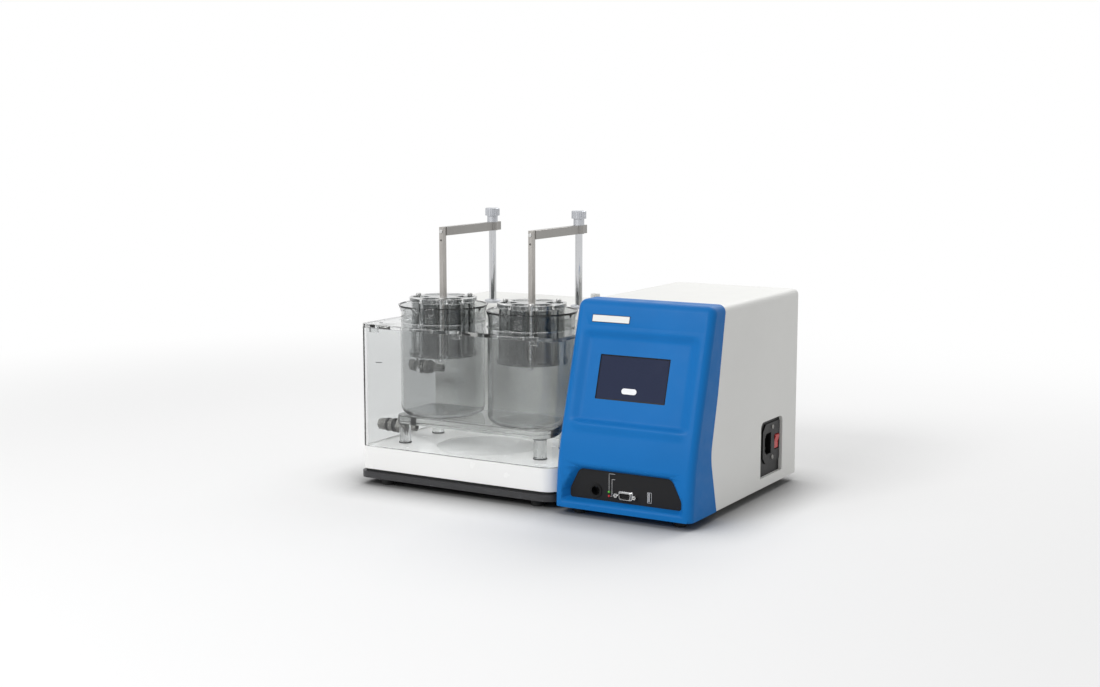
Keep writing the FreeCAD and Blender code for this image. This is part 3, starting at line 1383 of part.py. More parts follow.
def usb_block(inset, y0, y1):
    x = UNIT_MID_X + USB_X
    half_w = USB_W / 2 - inset
    half_h = USB_H / 2 - inset
    return box(x - half_w, x + half_w, y0, y1, USB_Z - half_h, USB_Z + half_h)


def sensor_socket():
    """Round socket with a keyed well."""
    x = UNIT_MID_X + SENSOR_SOCKET_X
    z = SENSOR_SOCKET_Z
    front = PANEL_Y - SENSOR_FLANGE_W
    well_r = SENSOR_SOCKET_R - SENSOR_WELL_WALL
    well_end = PANEL_Y + SENSOR_WELL_L
    body = rod_y(SENSOR_SOCKET_R, x, PANEL_Y, PANEL_Y + SENSOR_SOCKET_L, z)
    flange = rod_y(SENSOR_SOCKET_R + SENSOR_FLANGE_W, x, front, PANEL_Y, z)
    well = rod_y(well_r, x, front, well_end, z)
    half = SENSOR_KEY_W / 2
    key_z = z + well_r - SENSOR_KEY_H
    key = box(x - half, x + half, PANEL_Y, well_end, key_z, z + well_r + SENSOR_KEY_ROOT)
    return fuse([fuse([body, flange]).cut(well), key])


def serial_shell():
    x = UNIT_MID_X + SERIAL_X
    y0 = PANEL_Y - SERIAL_STAND
    y1 = PANEL_Y + SERIAL_DEPTH
    walls = 2 * SERIAL_SHELL_T
    shell = d_prism(SERIAL_W, SERIAL_H, x, SERIAL_Z, y0, y1)
    return shell.cut(d_prism(SERIAL_W - walls, SERIAL_H - walls, x, SERIAL_Z, y0, y1))


def serial_insert():
    """Black block with nine pin holes in two rows."""
    x = UNIT_MID_X + SERIAL_X
    walls = 2 * SERIAL_SHELL_T
    front = PANEL_Y - SERIAL_STAND + SERIAL_SINK
    block = d_prism(SERIAL_W - walls, SERIAL_H - walls, x, SERIAL_Z, front, PANEL_Y + SERIAL_DEPTH)
    for count, side in ((5, 1), (4, -1)):
        for i in range(count):
            hole_x = x + (i - (count - 1) / 2) * PIN_PITCH
            hole_z = SERIAL_Z + side * PIN_ROW_PITCH / 2
            block = block.cut(rod_y(PIN_HOLE_R, hole_x, front, front + SERIAL_STAND, hole_z))
    return block


def jack_screws():
    """Hexagonal standoffs beside the serial socket."""
    screws = []
    for x, z in jack_spots():
        front = PANEL_Y - SERIAL_STAND
        head = prism(hexagon(x, z, JACK_HEX_R), [0] * HEX_SIDES, "XZ", front, SERIAL_STAND)
        head = head.cut(rod_y(JACK_HOLE_R, x, front, PANEL_Y - JACK_HOLE_STOP, z))
        screws.append(fuse([head, rod_y(JACK_SHANK_R, x, PANEL_Y, PANEL_BACK_Y + JACK_REACH, z)]))
    return screws


def serial_socket():
    return group([serial_shell()] + jack_screws())


def moulded_sockets():
    return group([sensor_socket(), serial_insert()])


def usb_socket():
    """Upright shell with the contact tongue on its left side."""
    front = PANEL_Y - USB_STAND
    floor = PANEL_Y + USB_DEPTH - USB_BACK_T
    shell = usb_block(0, front, PANEL_Y + USB_DEPTH).cut(usb_block(USB_SHELL_T, front, floor))
    x = UNIT_MID_X + USB_X
    half = USB_H / 2 - USB_TONGUE_INSET
    left = x - USB_W / 2 + USB_SHELL_T
    right = x - USB_TONGUE_SIDE
    tongue = box(left, right, PANEL_Y + USB_TONGUE_SINK, floor, USB_Z - half, USB_Z + half)
    return fuse([shell, tongue])


def indicator_lamp(index):
    x = UNIT_MID_X + LAMP_X
    z = LAMP_Z - index * LAMP_SPACING
    stem = rod_y(LAMP_R, x, PANEL_Y, PANEL_Y + LAMP_L, z)
    dome = Part.makeSphere(LAMP_R, V(x, PANEL_Y, z))
    r = 2 * LAMP_R
    return fuse([stem, dome.common(box(x - r, x + r, PANEL_Y - r, PANEL_Y, z - r, z + r))])


def indicator_lamps():
    return group([indicator_lamp(0), indicator_lamp(1)])


def entry_outline(grow):
    return rectangle(ENTRY_Y - grow, ENTRY_Y + ENTRY_W + grow, ENTRY_Z - grow, ENTRY_Z + ENTRY_H + grow)


def entry_prism(grow, x0, x1):
    radii = [ENTRY_LOW_R + grow, ENTRY_LOW_R + grow, ENTRY_R + grow, ENTRY_R + grow]
    return prism(entry_outline(grow), radii, "YZ", x0, x1 - x0)


def case_prism(inset, y0, y1, low):
    """Length of the case's arch-shaped section, open or closed below by choice of low."""
    x0 = CASE_X + inset
    x1 = CASE_RIGHT_X - inset
    top = CASE_TOP_Z - inset
    r = CASE_R - inset
    return prism([(x0, low), (x1, low), (x1, top), (x0, top)], [0, 0, r, r], "XZ", y0, y1 - y0)


def control_case():
    """White wrap-round case behind the bezel, open to the front, back and bottom."""
    arch = case_prism(0, CASE_FRONT_Y, UNIT_BACK_Y, UNIT_BOTTOM_Z)
    arch = arch.cut(case_prism(CASE_WALL, CASE_FRONT_Y, UNIT_BACK_Y, UNIT_BOTTOM_Z - CUT_MARGIN))
    arch = arch.common(behind_parting())
    plate_x = ENTRY_X - ENTRY_PLATE_T
    sleeve = entry_prism(ENTRY_SLEEVE_T, plate_x, CASE_RIGHT_X - CASE_WALL / 2)
    arch = fuse([arch, sleeve]).cut(entry_prism(0, plate_x - CASE_WALL, UNIT_RIGHT_X + CUT_MARGIN))
    for y, z in TIE_SPOTS:
        arch = arch.cut(rod_x(TIE_BOLT_R + SCREW_CLEAR, CASE_X, CASE_X + CASE_WALL, y, z))
    return arch.cut(rod_x(CABLE_BUSH_R, CASE_X, CASE_X + CASE_WALL, CABLE_Y, CABLE_Z))


def control_tray():
    """Bottom tray with turned-up side flanges, screwed down to the feet."""
    x0 = CASE_X + CASE_WALL
    x1 = CASE_RIGHT_X - CASE_WALL
    y1 = UNIT_BACK_Y - CASE_WALL
    tray = box(x0, x1, TRAY_FRONT_Y, y1, UNIT_BOTTOM_Z, TRAY_TOP_Z)
    for x in (x0, x1 - TRAY_T):
        flange = box(x, x + TRAY_T, TRAY_FRONT_Y, y1, UNIT_BOTTOM_Z, UNIT_BOTTOM_Z + TRAY_FLANGE_H)
        tray = fuse([tray, flange])
    for x, y in unit_foot_spots():
        tray = tray.cut(rod_z(SHEET_SCREW_R + SCREW_CLEAR, x, y, UNIT_BOTTOM_Z, TRAY_TOP_Z))
    return tray


def panel_screw_spots():
    xs = (CASE_X + PANEL_SCREW_INSET, CASE_RIGHT_X - PANEL_SCREW_INSET)
    zs = (UNIT_BOTTOM_Z + PANEL_SCREW_LOW, CASE_TOP_Z - PANEL_SCREW_INSET)
    return [(x, z) for x in xs for z in zs]


def back_panel():
    y0 = UNIT_BACK_Y - CASE_WALL
    panel = case_prism(CASE_WALL, y0, UNIT_BACK_Y, UNIT_BOTTOM_Z)
    for x, z in panel_screw_spots():
        panel = panel.cut(rod_y(SHEET_SCREW_R + SCREW_CLEAR, x, y0, UNIT_BACK_Y, z))
    slot_z = CASE_TOP_Z - PANEL_SLOT_DROP
    for slot in vent_slots(UNIT_MID_X, slot_z, y0, UNIT_BACK_Y, PANEL_SLOT_ROWS, PANEL_SLOT_HALF):
        panel = panel.cut(slot)
    return panel


def back_panel_screws():
    screws = []
    for x, z in panel_screw_spots():
        at = V(x, UNIT_BACK_Y, z)
        screws.append(screw(at, (0, 1, 0), SCREW_HEAD_R, SCREW_HEAD_H, SHEET_SCREW_R, PANEL_SCREW_GRIP))
    return screws


def module_outline(x, length):
    y1 = MODULE_Y + MODULE_W
    z1 = MODULE_Z + MODULE_H
    cut = MODULE_CUT
    points = [
        (MODULE_Y + cut, MODULE_Z), (y1, MODULE_Z), (y1, z1), (MODULE_Y + cut, z1),
        (MODULE_Y, z1 - cut), (MODULE_Y, MODULE_Z + cut),
    ]
    radii = [MODULE_R, MODULE_REAR_R, MODULE_REAR_R, MODULE_R, MODULE_R, MODULE_R]
    return prism(points, radii, "YZ", x, length)


def rocker_room(x0, x1):
    half_w = ROCKER_W / 2 + ROCKER_GAP
    half_h = ROCKER_R + ROCKER_GAP
    return box(x0, x1, ROCKER_Y - half_w, ROCKER_Y + half_w, ROCKER_Z - half_h, ROCKER_Z + half_h)


def inlet_room(x0, x1):
    """Keyed well of the mains inlet, with its two cut corners at the front side."""
    y0 = INLET_Y - INLET_W / 2
    y1 = INLET_Y + INLET_W / 2
    z0 = INLET_Z - INLET_H / 2
    z1 = INLET_Z + INLET_H / 2
    cut = INLET_CUT
    points = [(y0 + cut, z0), (y1, z0), (y1, z1), (y0 + cut, z1), (y0, z1 - cut), (y0, z0 + cut)]
    return prism(points, [0] * 6, "YZ", x0, x1 - x0)


def power_module():
    """Inlet and switch carrier: chamfered flange, inlet well, rocker well."""
    face_x = ENTRY_X + MODULE_T
    flange = module_outline(ENTRY_X, MODULE_T)
    body = module_body(ENTRY_X - MODULE_BODY_DEPTH, ENTRY_X)
    module = fuse([flange, body]).cut(inlet_room(face_x - INLET_DEPTH, face_x))
    module = module.cut(rocker_room(ENTRY_X - ROCKER_WELL_L, face_x))
    for z in entry_screw_heights():
        module = module.cut(rod_x(SHEET_SCREW_R + SCREW_CLEAR, ENTRY_X, face_x, ENTRY_SCREW_Y, z))
    pin_half = ROCKER_W / 2 + ROCKER_GAP + ROCKER_PIN_REACH + ROCKER_GAP
    pin_r = ROCKER_PIN_R + ROCKER_PIN_FIT
    return module.cut(rod_y(pin_r, ROCKER_X, ROCKER_Y - pin_half, ROCKER_Y + pin_half, ROCKER_Z))


def module_body(x0, x1):
    """Block behind the flange that holds the inlet's well and the rocker's well."""
    y0 = INLET_Y - INLET_W / 2 - MODULE_WALL
    y1 = ROCKER_Y + ROCKER_W / 2 + ROCKER_GAP + MODULE_WALL
    half_h = INLET_H / 2 + MODULE_WALL
    return box(x0, x1, y0, y1, INLET_Z - half_h, INLET_Z + half_h)


def entry_screw_heights():
    return (INLET_Z - ENTRY_SCREW_REACH, INLET_Z + ENTRY_SCREW_REACH)


def power_entry_plate():
    """Black plate on the floor of the power pocket, cut out for the module's body."""
    back = ENTRY_X - ENTRY_PLATE_T
    plate = entry_prism(-PANEL_FIT, back, ENTRY_X)
    plate = plate.cut(module_body(back, ENTRY_X))
    for z in entry_screw_heights():
        plate = plate.cut(rod_x(SHEET_SCREW_R + SCREW_CLEAR, back, ENTRY_X, ENTRY_SCREW_Y, z))
    return plate


def power_entry_screws():
    screws = []
    for z in entry_screw_heights():
        at = V(ENTRY_X + MODULE_T, ENTRY_SCREW_Y, z)
        head = (ENTRY_SCREW_HEAD_R, ENTRY_SCREW_HEAD_H)
        screws.append(screw(at, (1, 0, 0), *head, SHEET_SCREW_R, ENTRY_SCREW_GRIP))
    return screws


def inlet_pins():
    """Three flat contacts standing on the floor of the inlet's well."""
    floor_x = ENTRY_X + MODULE_T - INLET_DEPTH
    pins = []
    outer_y = INLET_Y + OUTER_PIN_OFFSET
    half_w = INLET_PIN_W / 2
    half_t = INLET_PIN_T / 2
    for step, y in ((-1, outer_y), (0, outer_y - EARTH_PIN_OFFSET), (1, outer_y)):
        z = INLET_Z + step * INLET_PIN_PITCH
        pins.append(box(floor_x, floor_x + INLET_PIN_L, y - half_w, y + half_w, z - half_t, z + half_t))
    return group(pins)


def power_rocker():
    """Two-faced rocker on its pin, shown with its lower half pressed in."""
    axis_x = ROCKER_X
    half_w = ROCKER_W / 2
    barrel = rod_y(ROCKER_R, axis_x, ROCKER_Y - half_w, ROCKER_Y + half_w, ROCKER_Z)
    points = [
        (axis_x - ROCKER_BACK, ROCKER_Z - ROCKER_R), (axis_x + ROCKER_TIP, ROCKER_Z - ROCKER_R),
        (axis_x + ROCKER_WAIST, ROCKER_Z), (axis_x + ROCKER_TIP, ROCKER_Z + ROCKER_R),
        (axis_x - ROCKER_BACK, ROCKER_Z + ROCKER_R),
    ]
    radii = [0, ROCKER_TIP_R, ROCKER_DISH_R, ROCKER_TIP_R, 0]
    slab = prism(points, radii, "XZ", ROCKER_Y - half_w, ROCKER_W)
    paddle = barrel.common(slab)
    pin_half = half_w + ROCKER_GAP + ROCKER_PIN_REACH
    pin = rod_y(ROCKER_PIN_R, axis_x, ROCKER_Y - pin_half, ROCKER_Y + pin_half, ROCKER_Z)
    rocker = fuse([paddle, pin])
    rocker.rotate(V(axis_x, ROCKER_Y, ROCKER_Z), V(0, 1, 0), ROCKER_TILT)
    return rocker


def main_board():
    """Circuit board that stands on the tray behind the bezel."""
    right = UNIT_RIGHT_X - BOARD_INSET
    return box(UNIT_X + BOARD_INSET, right, BOARD_Y, BOARD_Y + BOARD_T, TRAY_TOP_Z, BOARD_TOP_Z)


def power_supply():
    """Boxed supply on the tray, its upper edges folded over."""
    x0 = UNIT_X + SUPPLY_INSET
    top = TRAY_TOP_Z + SUPPLY_H
    body = box(x0, x0 + SUPPLY_W, SUPPLY_Y, SUPPLY_Y + SUPPLY_D, TRAY_TOP_Z, top)
    rims = [e for e in body.Edges if abs(e.CenterOfMass.z - top) < 0.01]
    return body.makeChamfer(SUPPLY_CHAMFER, rims)


def housing_ties():
    """Spacer tubes and bolts that join the two housings side by side."""
    pieces = []
    for y, z in TIE_SPOTS:
        tube = rod_x(TIE_TUBE_R, BATH_W, CASE_X, y, z)
        pieces.append(tube.cut(rod_x(TIE_BOLT_R + SCREW_CLEAR, BATH_W, CASE_X, y, z)))
        inside = BATH_W - HOUSING_WALL
        beyond = CASE_X + CASE_WALL
        head = rod_x(TIE_HEAD_R, inside - TIE_HEAD_T, inside, y, z)
        shank = rod_x(TIE_BOLT_R, inside, beyond, y, z)
        nut = rod_x(TIE_NUT_ROUND_R, beyond, beyond + TIE_NUT_T, y, z)
        pieces.append(fuse([head, shank, nut]))
    return group(pieces)


def cable_bushing():
    """Rubber tube that leads the wiring from one housing into the other."""
    x0 = BATH_W - HOUSING_WALL - CABLE_STAND
    x1 = CASE_X + CASE_WALL + CABLE_STAND
    body = rod_x(CABLE_BUSH_R, x0, x1, CABLE_Y, CABLE_Z)
    middle = rod_x(CABLE_BUSH_R + CABLE_FLANGE_W, BATH_W, CASE_X, CABLE_Y, CABLE_Z)
    return fuse([body, middle]).cut(rod_x(CABLE_BORE_R, x0, x1, CABLE_Y, CABLE_Z))


# ---------------------------------------------------------------- all pieces
def station_pieces(side, x):
    """Beaker, basket, hanger, arm and knob of one test station."""
    return {
        side + "_beaker": beaker(x),
        side + "_basket_tubes": basket_tubes(x),
        side + "_basket_plates": basket_plates(x),
        side + "_basket_mesh": basket_mesh(x),
        side + "_basket_fasteners": basket_fasteners(x),
        side + "_hanger_bar": hanger_bar(x),
        side + "_lift_arm": lift_arm(x),
        side + "_knob": knob(x),
    }


def bath_pieces():
    return {
        "rubber_feet": rubber_feet(),
        "sheet_screws": sheet_screws(),
        "base_plate": base_plate(),
        "bath_seals": bath_seals(),
        "base_pan": base_pan(),
        "heater_plate": heater_plate(),
        "ring_heater": ring_heater(),
        "bath_tank": bath_tank(),
        "tank_lid": tank_lid(),
        "platform_plate": platform_plate(),
        "platform_legs": platform_legs(),
        "leg_rings": leg_rings(),
        "hose_fittings": hose_fittings(),
        "fitting_seals": fitting_seals(),
    }


def drive_pieces():
    return {
        "drive_rods": group([drive_rod(x) for x in STATION_X]),
        "crosshead": crosshead(),
        "crank_disc": crank_disc(),
        "crank_shaft": crank_shaft(),
        "pin_roller": pin_roller(),
        "shaft_bearing": shaft_bearing(),
        "drive_frame": drive_frame(),
        "rod_bushes": rod_bushes(),
        "gear_motor": gear_motor(),
        "drive_housing": drive_housing(),
        "back_cover": back_cover(),
        "housing_port_cap": port_cap(),
    }


def control_pieces():
    return {
        "control_bezel": bezel(),
        "touch_screen": touch_screen(),
        "connector_panel": connector_panel(),
        "moulded_sockets": moulded_sockets(),
        "serial_socket": serial_socket(),
        "usb_socket": usb_socket(),
        "indicator_lamps": indicator_lamps(),
        "control_case": control_case(),
        "control_tray": control_tray(),
        "control_back_panel": back_panel(),
        "power_module": power_module(),
        "power_entry_plate": power_entry_plate(),
        "inlet_pins": inlet_pins(),
        "power_rocker": power_rocker(),
        "main_board": main_board(),
        "power_supply": power_supply(),
        "housing_ties": housing_ties(),
        "cable_bushing": cable_bushing(),
    }


def main():
    os.makedirs("parts", exist_ok=True)
    pieces = bath_pieces() | drive_pieces() | control_pieces()
    for side, x in zip(("left", "right"), STATION_X):
        pieces |= station_pieces(side, x)
    for name, shape in pieces.items():
        export(name, shape)


main()
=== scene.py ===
import json
import math

import bmesh
import bpy
from bpy.props import FloatProperty, FloatVectorProperty, IntProperty, PointerProperty
from bpy.types import Operator, Panel, PropertyGroup
from mathutils import Matrix, Vector


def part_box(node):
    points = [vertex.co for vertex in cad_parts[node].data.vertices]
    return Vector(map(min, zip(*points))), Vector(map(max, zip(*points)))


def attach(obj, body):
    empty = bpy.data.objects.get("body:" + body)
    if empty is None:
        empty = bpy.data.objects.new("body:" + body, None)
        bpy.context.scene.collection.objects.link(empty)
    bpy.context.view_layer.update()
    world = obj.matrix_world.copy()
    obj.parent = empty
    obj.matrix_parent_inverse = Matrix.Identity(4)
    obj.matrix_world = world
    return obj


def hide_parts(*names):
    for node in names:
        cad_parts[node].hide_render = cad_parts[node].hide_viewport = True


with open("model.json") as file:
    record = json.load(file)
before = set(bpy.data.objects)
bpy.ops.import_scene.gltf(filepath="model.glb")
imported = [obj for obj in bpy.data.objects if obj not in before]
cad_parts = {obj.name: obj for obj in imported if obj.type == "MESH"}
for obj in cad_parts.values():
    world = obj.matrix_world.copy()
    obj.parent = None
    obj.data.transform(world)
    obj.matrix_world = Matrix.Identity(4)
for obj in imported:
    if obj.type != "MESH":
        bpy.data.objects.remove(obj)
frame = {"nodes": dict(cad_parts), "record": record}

bl_info = {
    "name": "Tablet Disintegration Tester",
    "version": (1, 0, 0),
    "blender": (4, 5, 0),
    "location": "View3D > Sidebar > Tester",
    "description": "Dresses a two-station tablet disintegration tester with its finishes and fine parts",
    "category": "Object",
}

MM = 0.001
# Pieces are modelled in millimetres from the bath's front left corner, then placed in metres.
PLACE = Matrix.Translation((-0.23105, -0.1603, 0.0)) @ Matrix.Scale(MM, 4)
BODIES = frame["record"]["behaviour"]["bodies"]
BODY_OF = {node: body for body, nodes in BODIES.items() for node in nodes}
SLOT_OF = {part["node"]: part["material_slot"] for part in frame["record"]["subparts"]}
SIDES = ("left", "right")
CREASE = 32.0


def linear(red, green, blue):
    """Linear colour of a display colour given in steps of 255."""
    channels = []
    for value in (red, green, blue):
        share = value / 255
        channels.append(share / 12.92 if share <= 0.04045 else ((share + 0.055) / 1.055) ** 2.4)
    return tuple(channels)


# ---------------------------------------------------------------- sizes and colours
class TesterSizes(PropertyGroup):
    """Sizes of the fine parts, in metres."""

    wire_pitch: FloatProperty(
        name="Wire Pitch", description="Distance between neighbouring wires of the basket cloth",
        default=0.0026, min=0.0015, max=0.006, unit="LENGTH", precision=4)
    wire_radius: FloatProperty(
        name="Wire Radius", description="Radius of a wire of the basket cloth",
        default=0.0002, min=0.0001, max=0.0005, unit="LENGTH", precision=5)
    cloth_radius: FloatProperty(
        name="Cloth Radius", description="Radius of the round cloth under each basket",
        default=0.0423, min=0.03, max=0.044, unit="LENGTH", precision=4)
    clear_gap: FloatProperty(
        name="Clear Gap", description="How far clear pieces are drawn in where they meet others",
        default=0.00003, min=0.0, max=0.0002, unit="LENGTH", precision=5)
    plate_length: FloatProperty(
        name="Name Plate Length", description="Length of the bare plate over the screen",
        default=0.052, min=0.02, max=0.1, unit="LENGTH")
    plate_height: FloatProperty(
        name="Name Plate Height", description="Height of the bare plate over the screen",
        default=0.0094, min=0.004, max=0.02, unit="LENGTH")
    button_length: FloatProperty(
        name="Button Length", description="Length of the lit field on the screen",
        default=0.0205, min=0.005, max=0.04, unit="LENGTH")
    recess_depth: FloatProperty(
        name="Cross Recess Depth", description="Depth of the cross recess in the screw heads",
        default=0.0011, min=0.0003, max=0.0015, unit="LENGTH", precision=4)
    bevel_segments: IntProperty(
        name="Edge Segments", description="Segments of the small rounding on sharp edges",
        default=2, min=1, max=4)


class TesterColours(PropertyGroup):
    """Colours of the coats, plastics and clear parts."""

    bezel: FloatVectorProperty(
        name="Bezel", description="Moulded front of the control unit",
        subtype="COLOR", size=3, min=0, max=1, default=linear(14, 108, 180))
    coat: FloatVectorProperty(
        name="Housing Coat", description="Powder coat of the housings",
        subtype="COLOR", size=3, min=0, max=1, default=linear(229, 229, 226))
    pan: FloatVectorProperty(
        name="Pan Coat", description="Gloss coat of the base pan",
        subtype="COLOR", size=3, min=0, max=1, default=linear(240, 240, 239))
    base: FloatVectorProperty(
        name="Base Coat", description="Dark coat of the bottom plate",
        subtype="COLOR", size=3, min=0, max=1, default=linear(50, 50, 52))
    panel: FloatVectorProperty(
        name="Connector Panel", description="Dark plate of the front sockets",
        subtype="COLOR", size=3, min=0, max=1, default=linear(30, 30, 31))
    screen: FloatVectorProperty(
        name="Screen", description="Lit background of the display",
        subtype="COLOR", size=3, min=0, max=1, default=linear(32, 39, 62))
    acrylic: FloatVectorProperty(
        name="Acrylic", description="Tint of the clear sheet",
        subtype="COLOR", size=3, min=0, max=1, default=(0.85, 0.86, 0.86))
    glass: FloatVectorProperty(
        name="Glass", description="Tint of the beakers",
        subtype="COLOR", size=3, min=0, max=1, default=(0.70, 0.71, 0.71))
    tubes: FloatVectorProperty(
        name="Tubes", description="Tint of the basket tubes",
        subtype="COLOR", size=3, min=0, max=1, default=(0.60, 0.61, 0.61))


def sizes():
    return bpy.context.scene.tester_sizes


def colours():
    return bpy.context.scene.tester_colours


# ---------------------------------------------------------------- finishes
class Finish:
    """A material of one shader, whose patterns lie on the piece's own coordinates."""

    def __init__(self, name, roughness, metallic=0.0, ior=1.5):
        self.material = bpy.data.materials.new(name)
        self.material.use_nodes = True
        self.tree = self.material.node_tree
        self.shader = self.tree.nodes["Principled BSDF"]
        self.output = self.tree.nodes["Material Output"]
        self.set("Roughness", roughness)
        self.set("Metallic", metallic)
        self.set("IOR", ior)
        self.height = None

    def set(self, socket, value):
        self.shader.inputs[socket].default_value = value

    def add(self, kind, **inputs):
        made = self.tree.nodes.new(kind)
        for socket, value in inputs.items():
            made.inputs[socket.replace("_", " ")].default_value = value
        return made

    def link(self, source, target):
        self.tree.links.new(source, target)

    def noise(self, scale, detail=3.0, stretch=(1, 1, 1)):
        """Noise pattern of a given number of grains per metre, drawn out by stretch."""
        coords = self.add("ShaderNodeTexCoord")
        mapping = self.add("ShaderNodeMapping")
        mapping.inputs["Scale"].default_value = stretch
        noise = self.add("ShaderNodeTexNoise", Scale=scale, Detail=detail)
        self.link(coords.outputs["Object"], mapping.inputs["Vector"])
        self.link(mapping.outputs["Vector"], noise.inputs["Vector"])
        return noise.outputs["Fac"]

    def cells(self, scale):
        """Pitted pattern of rounded cells."""
        coords = self.add("ShaderNodeTexCoord")
        cells = self.add("ShaderNodeTexVoronoi", Scale=scale)
        self.link(coords.outputs["Object"], cells.inputs["Vector"])
        return cells.outputs["Distance"]

    def tint(self, pattern, low, high, start=0.35, end=0.65):
        ramp = self.add("ShaderNodeValToRGB")
        ramp.color_ramp.elements[0].position = start
        ramp.color_ramp.elements[1].position = end
        ramp.color_ramp.elements[0].color = (*low, 1.0)
        ramp.color_ramp.elements[1].color = (*high, 1.0)
        self.link(pattern, ramp.inputs["Fac"])
        self.link(ramp.outputs["Color"], self.shader.inputs["Base Color"])
        return self

    def shades(self, pattern, colour, spread):
        """Tint that swings by a small share either way round one colour."""
        low = [max(0.0, c * (1 - spread)) for c in colour]
        high = [min(1.0, c * (1 + spread)) for c in colour]
        return self.tint(pattern, low, high)

    def gloss(self, pattern, low, high):
        spread = self.add("ShaderNodeMapRange", From_Min=0.3, From_Max=0.7, To_Min=low, To_Max=high)
        self.link(pattern, spread.inputs["Value"])
        self.link(spread.outputs["Result"], self.shader.inputs["Roughness"])
        return self

    def relief(self, pattern, depth, strength=0.6):
        """Raised pattern of a given depth in metres, laid over any earlier one."""
        bump = self.add("ShaderNodeBump", Strength=strength, Distance=depth)
        self.link(pattern, bump.inputs["Height"])
        if self.height:
            self.link(self.height, bump.inputs["Normal"])
        self.height = bump.outputs["Normal"]
        self.link(self.height, self.shader.inputs["Normal"])
        return self

    def clear_shadow(self, tint):
        """Lets light through the piece to what stands behind it, a little dimmed."""
        path = self.add("ShaderNodeLightPath")
        passed = self.add("ShaderNodeBsdfTransparent")
        passed.inputs["Color"].default_value = (tint, tint, tint, 1.0)
        mix = self.add("ShaderNodeMixShader")
        self.link(path.outputs["Is Shadow Ray"], mix.inputs["Fac"])
        self.link(self.shader.outputs["BSDF"], mix.inputs[1])
        self.link(passed.outputs["BSDF"], mix.inputs[2])
        self.link(mix.outputs["Shader"], self.output.inputs["Surface"])
        return self


def moulded_plastic(name, colour, roughness=0.42, grain=2600, sheen=0.5):
    """Moulded plastic with a fine spark-eroded skin."""
    skin = Finish(name, roughness)
    skin.set("Specular IOR Level", sheen)
    skin.shades(skin.noise(9, 2), colour, 0.03)
    skin.gloss(skin.noise(60, 3), roughness - 0.05, roughness + 0.06)
    return skin.relief(skin.noise(grain, 2), 0.00002, 0.35).material


def powder_coat(name, colour, roughness=0.38, dimple=900):
    """Baked powder coat with a faint orange peel."""
    coat = Finish(name, roughness)
    coat.shades(coat.noise(7, 2), colour, 0.012)
    coat.gloss(coat.noise(40, 3), roughness - 0.04, roughness + 0.06)
    return coat.relief(coat.noise(dimple, 1), 0.00003, 0.25).material


def brushed_metal(name, colour, roughness, stretch, lines=900, spread=0.07):
    """Metal ground with a belt: short lines along one direction."""
    metal = Finish(name, roughness, 1.0)
    strokes = metal.noise(lines, 4, stretch)
    metal.shades(strokes, colour, spread)
    metal.gloss(strokes, roughness - 0.06, roughness + 0.08)
    return metal.relief(strokes, 0.00002, 0.3).material


def cast_metal(name, colour, roughness, metallic=1.0, grain=700):
    """Blasted or die-cast metal with a soft mottle."""
    metal = Finish(name, roughness, metallic)
    metal.shades(metal.noise(25, 3), colour, 0.05)
    metal.gloss(metal.noise(120, 3), roughness - 0.06, roughness + 0.08)
    return metal.relief(metal.noise(grain, 3), 0.00004, 0.35).material


def polished_metal(name, colour, roughness):
    """Hard chrome or bright plating, with faint handling haze."""
    metal = Finish(name, roughness, 1.0)
    metal.shades(metal.noise(20, 2), colour, 0.03)
    metal.gloss(metal.noise(150, 4), max(0.02, roughness - 0.03), roughness + 0.05)
    return metal.relief(metal.noise(300, 2), 0.00001, 0.1).material


def soft_rubber(name, colour, roughness=0.72):
    rubber = Finish(name, roughness)
    rubber.shades(rubber.noise(80, 4), colour, 0.25)
    rubber.gloss(rubber.noise(300, 3), roughness - 0.08, roughness + 0.1)
    return rubber.relief(rubber.cells(1500), 0.00004, 0.4).material


def bath_seal(name):
    """Black gasket under the pan, pale silicone under the tank."""
    seal = Finish(name, 0.6)
    coords = seal.add("ShaderNodeTexCoord")
    split = seal.add("ShaderNodeSeparateXYZ")
    seal.link(coords.outputs["Object"], split.inputs["Vector"])
    height = seal.add("ShaderNodeMapRange", From_Min=0.03, From_Max=0.032)
    seal.link(split.outputs["Z"], height.inputs["Value"])
    seal.tint(height.outputs["Result"], linear(14, 14, 14), linear(214, 214, 212), 0.45, 0.55)
    return seal.relief(seal.cells(1500), 0.00003, 0.3).material


def clear_sheet(name, colour, ior, shadow):
    """Clear sheet or glass with a trace of handling haze and slight waviness."""
    clear = Finish(name, 0.0, 0.0, ior)
    clear.set("Transmission Weight", 1.0)
    clear.shades(clear.noise(14, 2), colour, 0.01)
    clear.gloss(clear.noise(45, 4), 0.0, 0.008)
    clear.relief(clear.noise(6, 1), 0.0002, 0.03)
    return clear.clear_shadow(shadow).material


def lit_display(name, colour):
    """Dark display behind gloss glass, faintly lit, with its fine dot rows."""
    display = Finish(name, 0.1)
    display.set("Specular IOR Level", 0.2)
    rows = display.noise(400, 1, (1, 0.2, 4))
    display.shades(rows, colour, 0.05)
    display.gloss(display.noise(60, 4), 0.06, 0.13)
    display.set("Emission Color", (*colour, 1.0))
    display.set("Emission Strength", 0.2)
    return display.material


